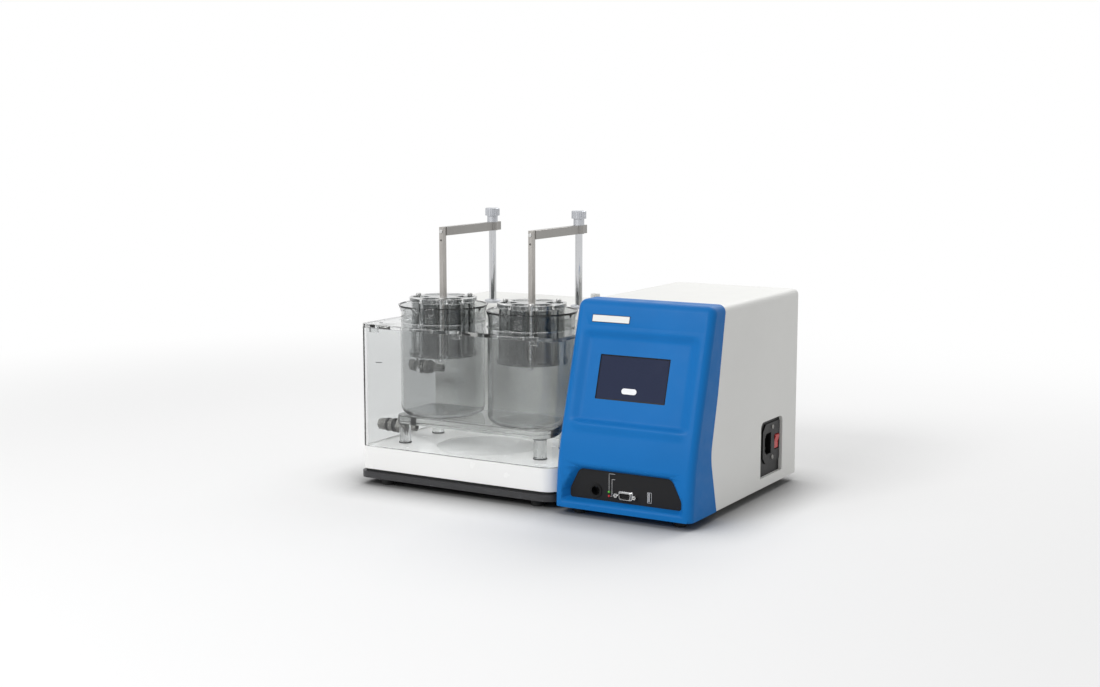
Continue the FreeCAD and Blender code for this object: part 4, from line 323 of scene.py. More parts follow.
def tinted_lens(name):
    """Lamp lenses: the upper one green, the lower one red."""
    lens = Finish(name, 0.18)
    coords = lens.add("ShaderNodeTexCoord")
    split = lens.add("ShaderNodeSeparateXYZ")
    lens.link(coords.outputs["Object"], split.inputs["Vector"])
    height = lens.add("ShaderNodeMapRange", From_Min=0.0303, From_Max=0.0312)
    lens.link(split.outputs["Z"], height.inputs["Value"])
    lens.tint(height.outputs["Result"], linear(196, 40, 36), linear(96, 190, 60), 0.45, 0.55)
    return lens.relief(lens.noise(900, 2), 0.00003, 0.3).material


def circuit_board(name):
    board = Finish(name, 0.4)
    board.tint(board.cells(220), linear(20, 78, 40), linear(34, 108, 58), 0.1, 0.5)
    board.gloss(board.noise(200, 3), 0.3, 0.5)
    return board.relief(board.noise(500, 3), 0.0001, 0.5).material


def make_finishes():
    """A material for each slot of the record, and for pieces that share a slot but look different."""
    colour = colours()
    upright = (1.0, 1.0, 0.03)
    return {
        "white_pan": powder_coat("white pan coat", colour.pan, 0.22, 500),
        "white_housing": powder_coat("housing powder coat", colour.coat, 0.45),
        "base_grey": powder_coat("dark base coat", colour.base, 0.4),
        "bezel_blue": moulded_plastic("blue moulding", colour.bezel, 0.45, sheen=0.15),
        "black_plastic": moulded_plastic("black moulding", linear(14, 14, 15), 0.42, sheen=0.25),
        "panel_grey": moulded_plastic("dark panel", colour.panel, 0.5, 1800, sheen=0.2),
        "screen": lit_display("display", colour.screen),
        "clear_acrylic": clear_sheet("clear acrylic", colour.acrylic, 1.4, 0.95),
        "clear_glass": clear_sheet("laboratory glass", colour.glass, 1.38, 0.94),
        "tubes": clear_sheet("tube glass", colour.tubes, 1.5, 0.94),
        "black_rubber": soft_rubber("black rubber", linear(24, 24, 25)),
        "bath_seals": bath_seal("bath seals"),
        "steel": brushed_metal("brushed steel", linear(170, 167, 163), 0.38, upright),
        # Darker copy of the brushed steel for the lift arms: painted shade for their side faces, which turn
        # away from the lamps.
        "arm_steel_painted_shade": brushed_metal("arm steel with painted shade", linear(148, 146, 143), 0.38, upright),
        "mesh_steel": polished_metal("wire steel", linear(120, 118, 116), 0.3),
        "chrome": polished_metal("hard chrome", linear(198, 199, 201), 0.1),
        "satin_metal": polished_metal("satin anodised", linear(186, 188, 192), 0.46),
        "plated_metal": polished_metal("nickel plate", linear(126, 125, 122), 0.24),
        "heater_grey": cast_metal("matt heater plate", linear(217, 218, 217), 0.6, 0.1),
        "cast_grey": cast_metal("die-cast case", linear(150, 152, 155), 0.5),
        "red_plastic": moulded_plastic("red moulding", linear(196, 34, 34), 0.3),
        "lamp_plastic": tinted_lens("lamp lenses"),
        "board_green": circuit_board("circuit board"),
        "bright_nuts": polished_metal("bright nuts", linear(206, 206, 205), 0.25),
    }


FINISHES = {}


# ---------------------------------------------------------------- making pieces
def finish_piece(name, bm, body, slot, material=None, crease=CREASE, place=True, turned_out=False):
    """Object of a bmesh, placed, smoothed up to its creases and riding on its body."""
    if place:
        bmesh.ops.transform(bm, matrix=PLACE, verts=bm.verts)
    if not turned_out:
        bmesh.ops.recalc_face_normals(bm, faces=bm.faces)
    mesh = bpy.data.meshes.new(name)
    bm.to_mesh(mesh)
    bm.free()
    mesh.shade_smooth()
    mesh.set_sharp_from_angle(angle=math.radians(crease))
    piece = bpy.data.objects.new(name, mesh)
    bpy.context.scene.collection.objects.link(piece)
    mesh.materials.append(material or FINISHES[slot])
    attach(piece, body)
    return piece


def round_edges(piece, width):
    """Small rounding on the sharp edges, as a modifier. Width in metres."""
    bevel = piece.modifiers.new("edge rounding", "BEVEL")
    bevel.width = width
    bevel.segments = sizes().bevel_segments
    bevel.limit_method = "ANGLE"
    bevel.angle_limit = math.radians(CREASE)
    bevel.harden_normals = True


def draw_in(piece, gap):
    """Leaves a hair of air round a clear piece that touches another."""
    inset = piece.modifiers.new("hair of air", "DISPLACE")
    inset.mid_level = 0.0
    inset.strength = -gap


def even_shading(piece):
    """Large flat faces set the shading of the small ones beside them."""
    weigh = piece.modifiers.new("even shading", "WEIGHTED_NORMAL")
    weigh.keep_sharp = True
    weigh.weight = 50


def dress(node, edge=0.0, crease=CREASE, clear=False, planes=False, reshape=None):
    """Smooth-shaded piece that stands for a solid, with its sharp edges rounded."""
    bm = bmesh.new()
    bm.from_mesh(frame["nodes"][node].data)
    bmesh.ops.remove_doubles(bm, verts=bm.verts, dist=0.000004)
    if planes:
        bmesh.ops.dissolve_limit(bm, angle_limit=math.radians(0.4), use_dissolve_boundaries=False,
                                 verts=bm.verts, edges=bm.edges, delimit=set())
    if reshape:
        reshape(bm)
    piece = finish_piece(node + "_finished", bm, BODY_OF[node], SLOT_OF[node],
                         crease=crease, place=False, turned_out=True)
    if edge:
        round_edges(piece, edge * MM)
    if clear:
        draw_in(piece, sizes().clear_gap)
    else:
        even_shading(piece)
    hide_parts(node)
    return piece


def coat(node):
    """Gives a solid that keeps its own mesh the finish of its slot."""
    solid = frame["nodes"][node]
    for held in solid.material_slots:
        held.material = FINISHES[SLOT_OF[node]]


def flat_outline(bm, corners, radii, segments=8):
    """Makes a face in the XY plane from its corners, each rounded by its radius."""
    verts = [bm.verts.new((x, y, 0)) for x, y in corners]
    face = bm.faces.new(verts)
    bm.normal_update()
    if face.normal.z < 0:
        face.normal_flip()
    for vert, radius in zip(verts, radii):
        if radius:
            bmesh.ops.bevel(bm, geom=[vert], offset=radius, offset_type="OFFSET", segments=segments,
                            profile=0.5, affect="VERTICES", material=-1, clamp_overlap=True)


def framed_outline(bm, corners, radii, width, thickness):
    """Flat rim of a given width inside an outline, standing on the XY plane."""
    flat_outline(bm, corners, radii)
    bmesh.ops.inset_region(bm, faces=bm.faces[:], thickness=width, depth=0.0, use_boundary=True,
                           use_even_offset=True)
    middle = max(bm.faces, key=lambda face: face.calc_area())
    bmesh.ops.delete(bm, geom=[middle], context="FACES")
    bmesh.ops.solidify(bm, geom=bm.faces[:], thickness=-thickness)


def raised_plate(bm, width, height, radius, thickness, edge):
    """Round-cornered plate on the XY plane with a softened upper edge, centred on the origin."""
    w, h = width / 2, height / 2
    flat_outline(bm, [(-w, -h), (w, -h), (w, h), (-w, h)], [radius] * 4)
    bmesh.ops.solidify(bm, geom=bm.faces[:], thickness=-thickness)
    bm.normal_update()
    top = max(v.co.z for v in bm.verts)
    rim = [e for e in bm.edges if all(abs(v.co.z - top) < 1e-4 for v in e.verts) and len(e.link_faces) == 2
           and abs(e.calc_face_angle(0.0)) > 1.0]
    if edge and rim:
        bmesh.ops.bevel(bm, geom=rim, offset=edge, offset_type="OFFSET", segments=2, profile=0.5,
                        affect="EDGES", material=-1)


# ---------------------------------------------------------------- the control unit's leaning face
UNIT_MIDDLE = 396.1
LEAN = math.radians(16.5)
FACE_FOOT_Z = 59.6
# The face's flat half width, the radius of its sides, and its gentle bend towards the foot.
FACE_HALF_WIDTH = 83.0
FACE_SIDE_RADIUS = 10.0
FACE_BEND_END = 44.9
FACE_BEND_RADIUS = 307.0
# Soft surface laid over the face: how far it reaches across, its ends up the face, its squares
# across and up, its skin, and how far it stands over the moulding.
FIELD_REACH = 86.0
FIELD_BOTTOM = 20.6
FIELD_TOP = 178.0
FIELD_SQUARES = (86, 78)
FIELD_SKIN = 0.3
FIELD_LIFT = 0.03
# The sunk field in it: its depth, and where it fades at the sides, at the foot and at the top.
FIELD_DEPTH = 4.2
FIELD_SIDE_FADE = (66.0, 82.0)
FIELD_FOOT_FADE = (57.0, 63.0)
FIELD_TOP_FADE = (162.0, 173.0)
# Low ridge across the field's foot: its height, and where it rises and falls up the face.
RIDGE_HEIGHT = 2.2
RIDGE_RISE = (44.0, 55.0)
RIDGE_FALL = (55.0, 60.0)
# Floor of the moulding's own field: its depth, how near to it a point counts as part of it, how
# far it may reach across and up, and the room left between it and the soft surface.
CAST_DEPTH = 2.6
CAST_NEAR = 0.06
CAST_REACH = 81.0
CAST_SPAN = (24.0, 172.0)
CAST_ROOM = 0.05
# Left, right, lower and upper edge of the hole for the screen, and the black border round the screen, partly
# the display's own dark edge and partly painted shade under the bezel lip: its corner radius, width,
# thickness and level.
SCREEN_HOLE = (-51.95, 43.15, 87.95, 143.35)
SHADE_BORDER_RADIUS = 0.5
SHADE_BORDER_WIDTH = 1.6
SHADE_BORDER_THICKNESS = 0.06
SHADE_BORDER_LEVEL = -4.58
# Places on the leaning face, as x, height and level.
LIT_FIELD_PLACE = (389.2, 155.6, -4.55)
NAME_PLATE_PLACE = (353.5, 238.3)
NAME_PLATE_RIM = 1.3
# Ring of the serial socket on the dark panel: its half widths, half height, corner radius, width
# and thickness, and its place.
SERIAL_FOOT, SERIAL_HEAD, SERIAL_HALF = 8.4, 10.0, 5.2
SERIAL_RADIUS = 2.2
SERIAL_RING = 1.3
SERIAL_RING_THICKNESS = 1.4
SERIAL_PLACE = (398.0, -0.95, 31.0)
# Printed lines on the dark panel: half their width, their thickness and the face they lie on.
INK_HALF = 0.22
INK_THICKNESS = 0.05
INK_Y = -1.02
# Level tick on the bath's front wall.
TICK_SIZE = (11.0, 0.8)
TICK_PLACE = (31.0, -0.15, 165.0)


def ease(value, start, end):
    """Share that grows smoothly from none to all between two values."""
    share = min(1.0, max(0.0, (value - start) / (end - start)))
    return share * share * (3 - 2 * share)


def on_face(x, z, proud=0.0):
    """Placement whose XY plane lies on the leaning face, at a place given by x and height."""
    y = -12.0 + math.tan(LEAN) * (z - FACE_FOOT_Z)
    across = Vector((1, 0, 0))
    up = Vector((0, math.sin(LEAN), math.cos(LEAN)))
    out = across.cross(up)
    turn = Matrix((across, up, out)).transposed().to_4x4()
    return Matrix.Translation(Vector((x, y, z)) + out * proud) @ turn


def on_front(x, y, z):
    """Placement whose XY plane is upright and faces the front."""
    turn = Matrix.Rotation(math.radians(90), 4, "X")
    return Matrix.Translation((x, y, z)) @ turn


# ---------------------------------------------------------------- stage, in metres and watts
LAMPS = (
    ("key lamp", (-1.3, -2.1, 2.6), 2.2, 2.2, 16.0),
    ("front lamp", (-0.5, -2.9, 2.0), 1.4, 1.0, 50.0),
    ("back lamp", (0.1, 2.2, 2.4), 2.0, 1.4, 42.0),
)
LAMP_AIM = (0.0, 0.0, 0.15)
ROOM_LIGHT = 0.46
FLOOR_HALF_SIZE = 9.0
FLOOR_SEEN = 0.9
FLOOR_BOUNCE = 0.76
# The floor turns white between these distances from the middle.
FLOOR_FADE = (0.8, 1.7)
# Deeper shade where the object meets the floor: its reach, and the floor's shade there.
CONTACT_REACH = 0.085
CONTACT_SHADE = 0.24
CAMERA_PLACE = (1.04175, -1.8273, 0.482)
CAMERA_TURN = math.radians(30.5)
CAMERA_DROP = math.radians(8.04)
CAMERA_LENS = 52.30


# ---------------------------------------------------------------- operators
class TESTER_OT_base(Operator):
    """Bottom plate, feet, base pan and heater"""

    bl_idname = "tester.base"
    bl_label = "Base and Heater"

    def execute(self, context):
        dress("base_plate", edge=0.5, planes=True)
        dress("rubber_feet")
        dress("base_pan", edge=0.7, planes=True)
        dress("heater_plate", edge=0.4)
        coat("ring_heater")
        return {"FINISHED"}


class TESTER_OT_bath(Operator):
    """Clear tank with its lid and seals"""

    bl_idname = "tester.bath"
    bl_label = "Bath Tank"

    def execute(self, context):
        dress("bath_seals").data.materials[0] = FINISHES["bath_seals"]
        dress("bath_tank", edge=0.4, clear=True, planes=True)
        dress("tank_lid", edge=0.35, clear=True, planes=True)
        bm = bmesh.new()
        raised_plate(bm, *TICK_SIZE, 0.3, 0.1, 0.0)
        bmesh.ops.transform(bm, matrix=on_front(*TICK_PLACE), verts=bm.verts)
        finish_piece("level_mark", bm, "base", "panel_grey")
        return {"FINISHED"}


class TESTER_OT_platform(Operator):
    """Platform that carries the beakers, on its four legs"""

    bl_idname = "tester.platform"
    bl_label = "Beaker Platform"

    def execute(self, context):
        dress("platform_plate", edge=0.2, clear=True, planes=True)
        dress("platform_legs", edge=0.3, clear=True)
        dress("leg_rings")
        return {"FINISHED"}


class TESTER_OT_beakers(Operator):
    """Two glass beakers with their spouts"""

    bl_idname = "tester.beakers"
    bl_label = "Beakers"

    def execute(self, context):
        for side in SIDES:
            dress(side + "_beaker", crease=50, clear=True)
        return {"FINISHED"}


class TESTER_OT_baskets(Operator):
    """Two baskets: plates, glass tubes, tie rods and woven cloth"""

    bl_idname = "tester.baskets"
    bl_label = "Baskets"

    def execute(self, context):
        cloth = self.cloth()
        for side in SIDES:
            tubes = dress(side + "_basket_tubes", crease=50, clear=True)
            tubes.data.materials[0] = FINISHES["tubes"]
            dress(side + "_basket_plates", edge=0.3, clear=True, planes=True)
            dress(side + "_basket_fasteners").data.materials[0] = FINISHES["bright_nuts"]
            node = side + "_basket_mesh"
            low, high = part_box(node)
            bm = bmesh.new()
            bm.from_mesh(cloth)
            bmesh.ops.translate(bm, vec=(Vector(low) + Vector(high)) / 2, verts=bm.verts)
            piece = finish_piece(node + "_woven", bm, BODY_OF[node], SLOT_OF[node], crease=70, place=False)
            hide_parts(node)
        bpy.data.meshes.remove(cloth)
        return {"FINISHED"}

    def cloth(self):
        """Round of woven wire cloth about the origin, in metres."""
        radius = sizes().cloth_radius
        pitch = sizes().wire_pitch
        bm = bmesh.new()
        count = int(radius / pitch)
        for turn in (0.0, math.pi / 2):
            for row in range(-count, count + 1):
                reach = math.sqrt(max(0.0, radius ** 2 - (row * pitch) ** 2))
                steps = int(reach / pitch)
                if steps:
                    wire = self.wire(row, steps, turn)
                    bm.from_mesh(wire)
                    bpy.data.meshes.remove(wire)
        mesh = bpy.data.meshes.new("cloth")
        bm.to_mesh(mesh)
        bm.free()
        return mesh

    def wire(self, row, steps, turn):
        """One wire that rises over and dips under the wires that cross it."""
        bm = bmesh.new()
        pitch = sizes().wire_pitch
        wire_r = sizes().wire_radius
        side = 1 if (row + (turn > 0)) % 2 else -1
        spin = Matrix.Rotation(turn, 4, "Z")
        start = Vector((-steps * pitch, row * pitch, 0))
        upright = Matrix.Rotation(math.radians(90), 4, "Y")
        begun = bmesh.ops.create_circle(bm, cap_ends=True, radius=wire_r, segments=4,
                                        matrix=spin @ Matrix.Translation(start) @ upright)
        ring = list({e for v in begun["verts"] for e in v.link_edges})
        heights = [0.8 * wire_r * side * (-1) ** (i // 2) if i % 2 else 0.0 for i in range(4 * steps + 1)]
        level = 0.0
        for i in range(1, 4 * steps + 1):
            grown = bmesh.ops.extrude_edge_only(bm, edges=ring)["geom"]
            last = [g for g in grown if isinstance(g, bmesh.types.BMVert)]
            ring = [g for g in grown if isinstance(g, bmesh.types.BMEdge)]
            move = spin @ Vector((pitch / 2, 0, heights[i] - level))
            bmesh.ops.translate(bm, vec=move, verts=last)
            level = heights[i]
        bmesh.ops.holes_fill(bm, edges=ring, sides=4)
        mesh = bpy.data.meshes.new("wire")
        bm.to_mesh(mesh)
        bm.free()
        return mesh


class TESTER_OT_arms(Operator):
    """Drive rods, lift arms, hanger bars and knobs"""

    bl_idname = "tester.arms"
    bl_label = "Arms and Rods"

    def execute(self, context):
        dress("drive_rods", edge=0.4)
        for side in SIDES:
            dress(side + "_hanger_bar", edge=0.4, planes=True)
            # The lift arms take the darker steel, which is painted shade.
            dress(side + "_lift_arm", edge=0.5, planes=True).data.materials[0] = FINISHES["arm_steel_painted_shade"]
            dress(side + "_knob", edge=0.3)
        return {"FINISHED"}


class TESTER_OT_fittings(Operator):
    """Hose fittings through the bath's left wall"""

    bl_idname = "tester.fittings"
    bl_label = "Hose Fittings"

    def execute(self, context):
        dress("hose_fittings", edge=0.25)
        dress("fitting_seals")
        return {"FINISHED"}


class TESTER_OT_housing(Operator):
    """Rear housing with its cover, cap and rod bushes"""

    bl_idname = "tester.housing"
    bl_label = "Rear Housing"

    def execute(self, context):
        dress("drive_housing", edge=0.5, planes=True)
        dress("back_cover", edge=0.5, planes=True)
        dress("housing_port_cap")
        dress("rod_bushes", edge=0.3)
        dress("cable_bushing")
        coat("housing_ties")
        return {"FINISHED"}


class TESTER_OT_drive(Operator):
    """Moving and fixed parts inside the rear housing"""

    bl_idname = "tester.drive"
    bl_label = "Drive"

    def execute(self, context):
        for node in ("crosshead", "drive_frame", "shaft_bearing", "gear_motor", "main_board", "power_supply"):
            coat(node)
        for node in ("crank_disc", "crank_shaft", "pin_roller"):
            dress(node, edge=0.2)
        return {"FINISHED"}


class TESTER_OT_control(Operator):
    """Control unit: bezel, wrap-round case, tray and back panel"""

    bl_idname = "tester.control"
    bl_label = "Control Unit"

    def execute(self, context):
        dress("control_bezel", crease=28, reshape=self.deepen_field)
        even_shading(self.field())
        dress("control_case", edge=0.5, planes=True)
        dress("control_tray", planes=True)
        dress("control_back_panel", edge=0.4, planes=True)
        size = sizes()
        bm = bmesh.new()
        raised_plate(bm, size.plate_length / MM, size.plate_height / MM, 0.6, 0.5, 0.15)
        bmesh.ops.transform(bm, matrix=on_face(*NAME_PLATE_PLACE, 0.03), verts=bm.verts)
        finish_piece("name_plate_rim", bm, "base", "black_plastic")
        bm = bmesh.new()
        length = size.plate_length / MM - NAME_PLATE_RIM
        height = size.plate_height / MM - NAME_PLATE_RIM
        raised_plate(bm, length, height, 0.4, 0.12, 0.0)
        bmesh.ops.transform(bm, matrix=on_face(*NAME_PLATE_PLACE, 0.5), verts=bm.verts)
        finish_piece("name_plate", bm, "base", "white_housing")
        return {"FINISHED"}

    def deepen_field(self, bm):
        """Sinks the floor of the moulding's field, to make room for its softer surface."""
        to_face = on_face(UNIT_MIDDLE, FACE_FOOT_Z).inverted() @ PLACE.inverted()
        to_room = to_face.inverted()
        for vert in bm.verts:
            across, along, out = to_face @ vert.co
            on_floor = abs(out + CAST_DEPTH) < CAST_NEAR and abs(across) < CAST_REACH
            if on_floor and CAST_SPAN[0] < along < CAST_SPAN[1]:
                vert.co = to_room @ Vector((across, along, -FIELD_DEPTH - CAST_ROOM))

    def field(self):
        """Soft-edged field round the screen, with a low ridge across its foot."""
        bm = bmesh.new()
        length = FIELD_TOP - FIELD_BOTTOM
        across, up = FIELD_SQUARES
        bmesh.ops.create_grid(bm, x_segments=across, y_segments=up, size=0.5)
        bmesh.ops.scale(bm, vec=(2 * FIELD_REACH, length, 1), verts=bm.verts)
        bmesh.ops.translate(bm, vec=(0, FIELD_BOTTOM + length / 2, 0), verts=bm.verts)
        left, right, low, high = SCREEN_HOLE
        for axis, place in ((0, left), (0, right), (1, low), (1, high)):
            bmesh.ops.bisect_plane(bm, geom=bm.verts[:] + bm.edges[:] + bm.faces[:], dist=0.0001,
                                   plane_co=[place, place, 0], plane_no=[axis == 0, axis == 1, 0])
        inside = []
        for face in bm.faces:
            middle = face.calc_center_median()
            if left < middle.x < right and low < middle.y < high:
                inside.append(face)
        bmesh.ops.delete(bm, geom=inside, context="FACES")
        for vert in bm.verts:
            vert.co.z = self.field_level(abs(vert.co.x), vert.co.y)
        bmesh.ops.solidify(bm, geom=bm.faces[:], thickness=FIELD_SKIN)
        bmesh.ops.transform(bm, matrix=on_face(UNIT_MIDDLE, FACE_FOOT_Z), verts=bm.verts)
        return finish_piece("bezel_field", bm, "base", "bezel_blue", crease=45)

    def field_level(self, across, along):
        """Height of the field's surface over the leaning face, in millimetres."""
        past = max(0.0, across - FACE_HALF_WIDTH)
        level = FIELD_LIFT - (FACE_SIDE_RADIUS - math.sqrt(FACE_SIDE_RADIUS ** 2 - past ** 2))
        level -= max(0.0, FACE_BEND_END - along) ** 2 / (2 * FACE_BEND_RADIUS)
        ends = 1 - ease(across, *FIELD_SIDE_FADE)
        level -= FIELD_DEPTH * ends * ease(along, *FIELD_FOOT_FADE) * (1 - ease(along, *FIELD_TOP_FADE))
        ridge = ease(along, *RIDGE_RISE) * (1 - ease(along, *RIDGE_FALL))
        return level + RIDGE_HEIGHT * ridge * ends


class TESTER_OT_screen(Operator):
    """Touch screen with one bare lit field, and a black border round it that is partly the display's dark
    edge and partly painted shade under the bezel lip
    """

    bl_idname = "tester.screen"
    bl_label = "Touch Screen"

    def execute(self, context):
        dress("touch_screen", edge=0.3, planes=True)
        lit = Finish("lit field", 0.3)
        lit.shades(lit.noise(300, 2), linear(232, 234, 238), 0.02)
        lit.set("Emission Color", (*linear(232, 234, 238), 1.0))
        lit.set("Emission Strength", 0.05)
        bm = bmesh.new()
        length = sizes().button_length / MM
        raised_plate(bm, length, 7.0, 3.4, 0.08, 0.0)
        bmesh.ops.transform(bm, matrix=on_face(*LIT_FIELD_PLACE), verts=bm.verts)
        finish_piece("screen_field", bm, "base", "screen", material=lit.material)
        # Black border round the screen hole: partly the display's own dark edge, partly painted shade under
        # the bezel lip.
        left, right, low, high = SCREEN_HOLE
        bm = bmesh.new()
        corners = [(left, low), (right, low), (right, high), (left, high)]
        framed_outline(bm, corners, [SHADE_BORDER_RADIUS] * 4, SHADE_BORDER_WIDTH, SHADE_BORDER_THICKNESS)
        bmesh.ops.transform(bm, matrix=on_face(UNIT_MIDDLE, FACE_FOOT_Z, SHADE_BORDER_LEVEL), verts=bm.verts)
        finish_piece("screen_border_and_painted_shade", bm, "base", "black_plastic")
        return {"FINISHED"}


class TESTER_OT_connectors(Operator):
    """Front sockets, lamps and their leader lines"""

    bl_idname = "tester.connectors"
    bl_label = "Front Connectors"

    def execute(self, context):
        dress("connector_panel", edge=0.3, planes=True)
        dress("moulded_sockets", edge=0.2)
        dress("serial_socket", edge=0.12).data.materials[0] = FINISHES["bright_nuts"]
        dress("usb_socket", edge=0.12)
        dress("indicator_lamps", crease=50)
        bm = bmesh.new()
        corners = [(-SERIAL_FOOT, -SERIAL_HALF), (SERIAL_FOOT, -SERIAL_HALF),
                   (SERIAL_HEAD, SERIAL_HALF), (-SERIAL_HEAD, SERIAL_HALF)]
        framed_outline(bm, corners, [SERIAL_RADIUS] * 4, SERIAL_RING, SERIAL_RING_THICKNESS)
        bmesh.ops.transform(bm, matrix=on_front(*SERIAL_PLACE), verts=bm.verts)
        finish_piece("serial_shell", bm, "base", "chrome")
        self.leader_lines()
        return {"FINISHED"}

    def leader_lines(self):
        """Two thin printed lines that lead up from the lamps."""
        ink = Finish("white ink", 0.5)
        ink.shades(ink.noise(900, 3), linear(205, 205, 205), 0.06)
        bm = bmesh.new()
        runs = [
            (-21.6, 35.2, -21.6, 55.8), (-21.6, 55.8, -13.6, 55.8),
            (-19.6, 28.2, -17.6, 28.2), (-17.6, 28.2, -17.6, 49.2), (-17.6, 49.2, -13.6, 49.2),
        ]
        half = INK_HALF
        for x0, z0, x1, z1 in runs:
            line = bmesh.new()
            corners = [(x0 - half, z0 - half), (x1 + half, z0 - half), (x1 + half, z1 + half),
                       (x0 - half, z1 + half)]
            flat_outline(line, corners, [0.2] * 4, 3)
            bmesh.ops.solidify(line, geom=line.faces[:], thickness=-INK_THICKNESS)
            bmesh.ops.transform(line, matrix=on_front(UNIT_MIDDLE, INK_Y, 0), verts=line.verts)
            mesh = bpy.data.meshes.new("line")
            line.to_mesh(mesh)
            line.free()
            bm.from_mesh(mesh)
            bpy.data.meshes.remove(mesh)
        finish_piece("panel_lines", bm, "base", "panel_grey", material=ink.material)


class TESTER_OT_power(Operator):
    """Mains inlet, its plate and the rocker switch"""

    bl_idname = "tester.power"
    bl_label = "Power Entry"

    def execute(self, context):
        dress("power_entry_plate", edge=0.3, planes=True)
        dress("power_module", edge=0.3, planes=True)
        dress("inlet_pins", edge=0.2)
        dress("power_rocker", edge=0.3)
        return {"FINISHED"}


class TESTER_OT_screws(Operator):
    """Domed cross-recess screws in every screw place"""

    bl_idname = "tester.screws"
    bl_label = "Screws"

    def execute(self, context):
        head = self.head()
        bm = bmesh.new()
        for place, length, shank_r in self.places():
            screw = bmesh.new()
            screw.from_mesh(head)
            begun = bmesh.ops.create_circle(screw, radius=shank_r, segments=16, cap_ends=True)
            ring = {e for v in begun["verts"] for e in v.link_edges}
            grown = bmesh.ops.extrude_edge_only(screw, edges=list(ring))["geom"]
            foot = [g for g in grown if isinstance(g, bmesh.types.BMVert)]
            bmesh.ops.translate(screw, vec=(0, 0, -length), verts=foot)
            rim = [g for g in grown if isinstance(g, bmesh.types.BMEdge)]
            bmesh.ops.holes_fill(screw, edges=rim, sides=16)
            bmesh.ops.transform(screw, matrix=place, verts=screw.verts)
            mesh = bpy.data.meshes.new("screw")
            screw.to_mesh(mesh)
            screw.free()
            bm.from_mesh(mesh)
            bpy.data.meshes.remove(mesh)
        piece = finish_piece("sheet_screws_detailed", bm, "base", "plated_metal", crease=35, place=False)
        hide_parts("sheet_screws")
        bpy.data.meshes.remove(head)
        return {"FINISHED"}

    def places(self):
        """Placement, shank length and shank radius of each screw, read from the solids."""
        bm = bmesh.new()
        bm.from_mesh(frame["nodes"]["sheet_screws"].data)
        bmesh.ops.remove_doubles(bm, verts=bm.verts, dist=0.000004)
        left = set(bm.verts)
        found = []
        while left:
            island = {left.pop()}
            edge = list(island)
            while edge:
                vert = edge.pop()
                for link in vert.link_edges:
                    other = link.other_vert(vert)
                    if other not in island:
                        island.add(other)
                        left.discard(other)
                        edge.append(other)
            found.append(self.axis_of([v.co.copy() for v in island]))
        bm.free()
        return found

    def axis_of(self, points):
        low = Vector([min(p[i] for p in points) for i in range(3)])
        high = Vector([max(p[i] for p in points) for i in range(3)])
        middle = (low + high) / 2
        span = high - low
        along = max(range(3), key=lambda i: span[i])
        across = [i for i in range(3) if i != along]
        reach = [math.hypot(*(p[i] - middle[i] for i in across)) for p in points]
        widest = max(reach)
        rim = [p[along] for p, r in zip(points, reach) if r > widest * 0.99]
        seat_side = 1 if sum(rim) / len(rim) > middle[along] else -1
        seat = min(rim) if seat_side > 0 else max(rim)
        axis = Vector((0, 0, 0))
        axis[along] = seat_side
        centre = middle.copy()
        centre[along] = seat
        place = Matrix.Translation(centre) @ Vector((0, 0, 1)).rotation_difference(axis).to_matrix().to_4x4()
        shank = min(r for r in reach if r > widest * 0.2)
        return place, span[along] - (max(rim) - min(rim)) - 0.0002, shank

    def head(self):
        """Low domed head with a cross recess, its seat on the XY plane, in metres."""
        radius, height = 3.2, 1.6
        bm = bmesh.new()
        profile = [(0.0, height), (1.3, height - 0.08), (2.3, height - 0.35), (2.9, height - 0.8),
                   (radius, height - 1.2), (radius, 0.12), (radius - 0.12, 0.0), (0.0, 0.0)]
        verts = [bm.verts.new((x, 0, z)) for x, z in profile]
        edges = [bm.edges.new(pair) for pair in zip(verts, verts[1:])]
        bmesh.ops.spin(bm, geom=verts + edges, cent=(0, 0, 0), axis=(0, 0, 1), angle=math.tau,
                       steps=24, use_merge=True)
        bmesh.ops.remove_doubles(bm, verts=bm.verts, dist=0.001)
        bmesh.ops.recalc_face_normals(bm, faces=bm.faces)
        blank = self.loose(bm, "screw blank")
        depth = sizes().recess_depth / MM
        cutter = bmesh.new()
        for turn in (0, math.pi / 2):
            arm = bmesh.ops.create_cube(cutter, size=1.0)["verts"]
            shape = Matrix.Rotation(turn, 4, "Z") @ Matrix.Translation((0, 0, height + 0.5 - depth))
            bmesh.ops.transform(cutter, matrix=shape @ Matrix.Diagonal((3.4, 0.75, 1.0, 1.0)), verts=arm)
            tip = [v for v in arm if v.co.z < height - depth + 0.1]
            bmesh.ops.scale(cutter, vec=(0.55, 0.55, 1.0), verts=tip)
        tool = self.loose(cutter, "cross recess")
        cut = blank.modifiers.new("recess", "BOOLEAN")
        cut.operation = "DIFFERENCE"
        cut.solver = "EXACT"
        cut.use_self = True
        cut.object = tool
        mesh = bpy.data.meshes.new_from_object(blank.evaluated_get(bpy.context.evaluated_depsgraph_get()))
        mesh.transform(Matrix.Scale(MM, 4))
        for made in (blank, tool):
            bpy.data.objects.remove(made)
        return mesh

    def loose(self, bm, name):
        mesh = bpy.data.meshes.new(name)
        bm.to_mesh(mesh)
        bm.free()
        made = bpy.data.objects.new(name, mesh)
        bpy.context.scene.collection.objects.link(made)
        return made


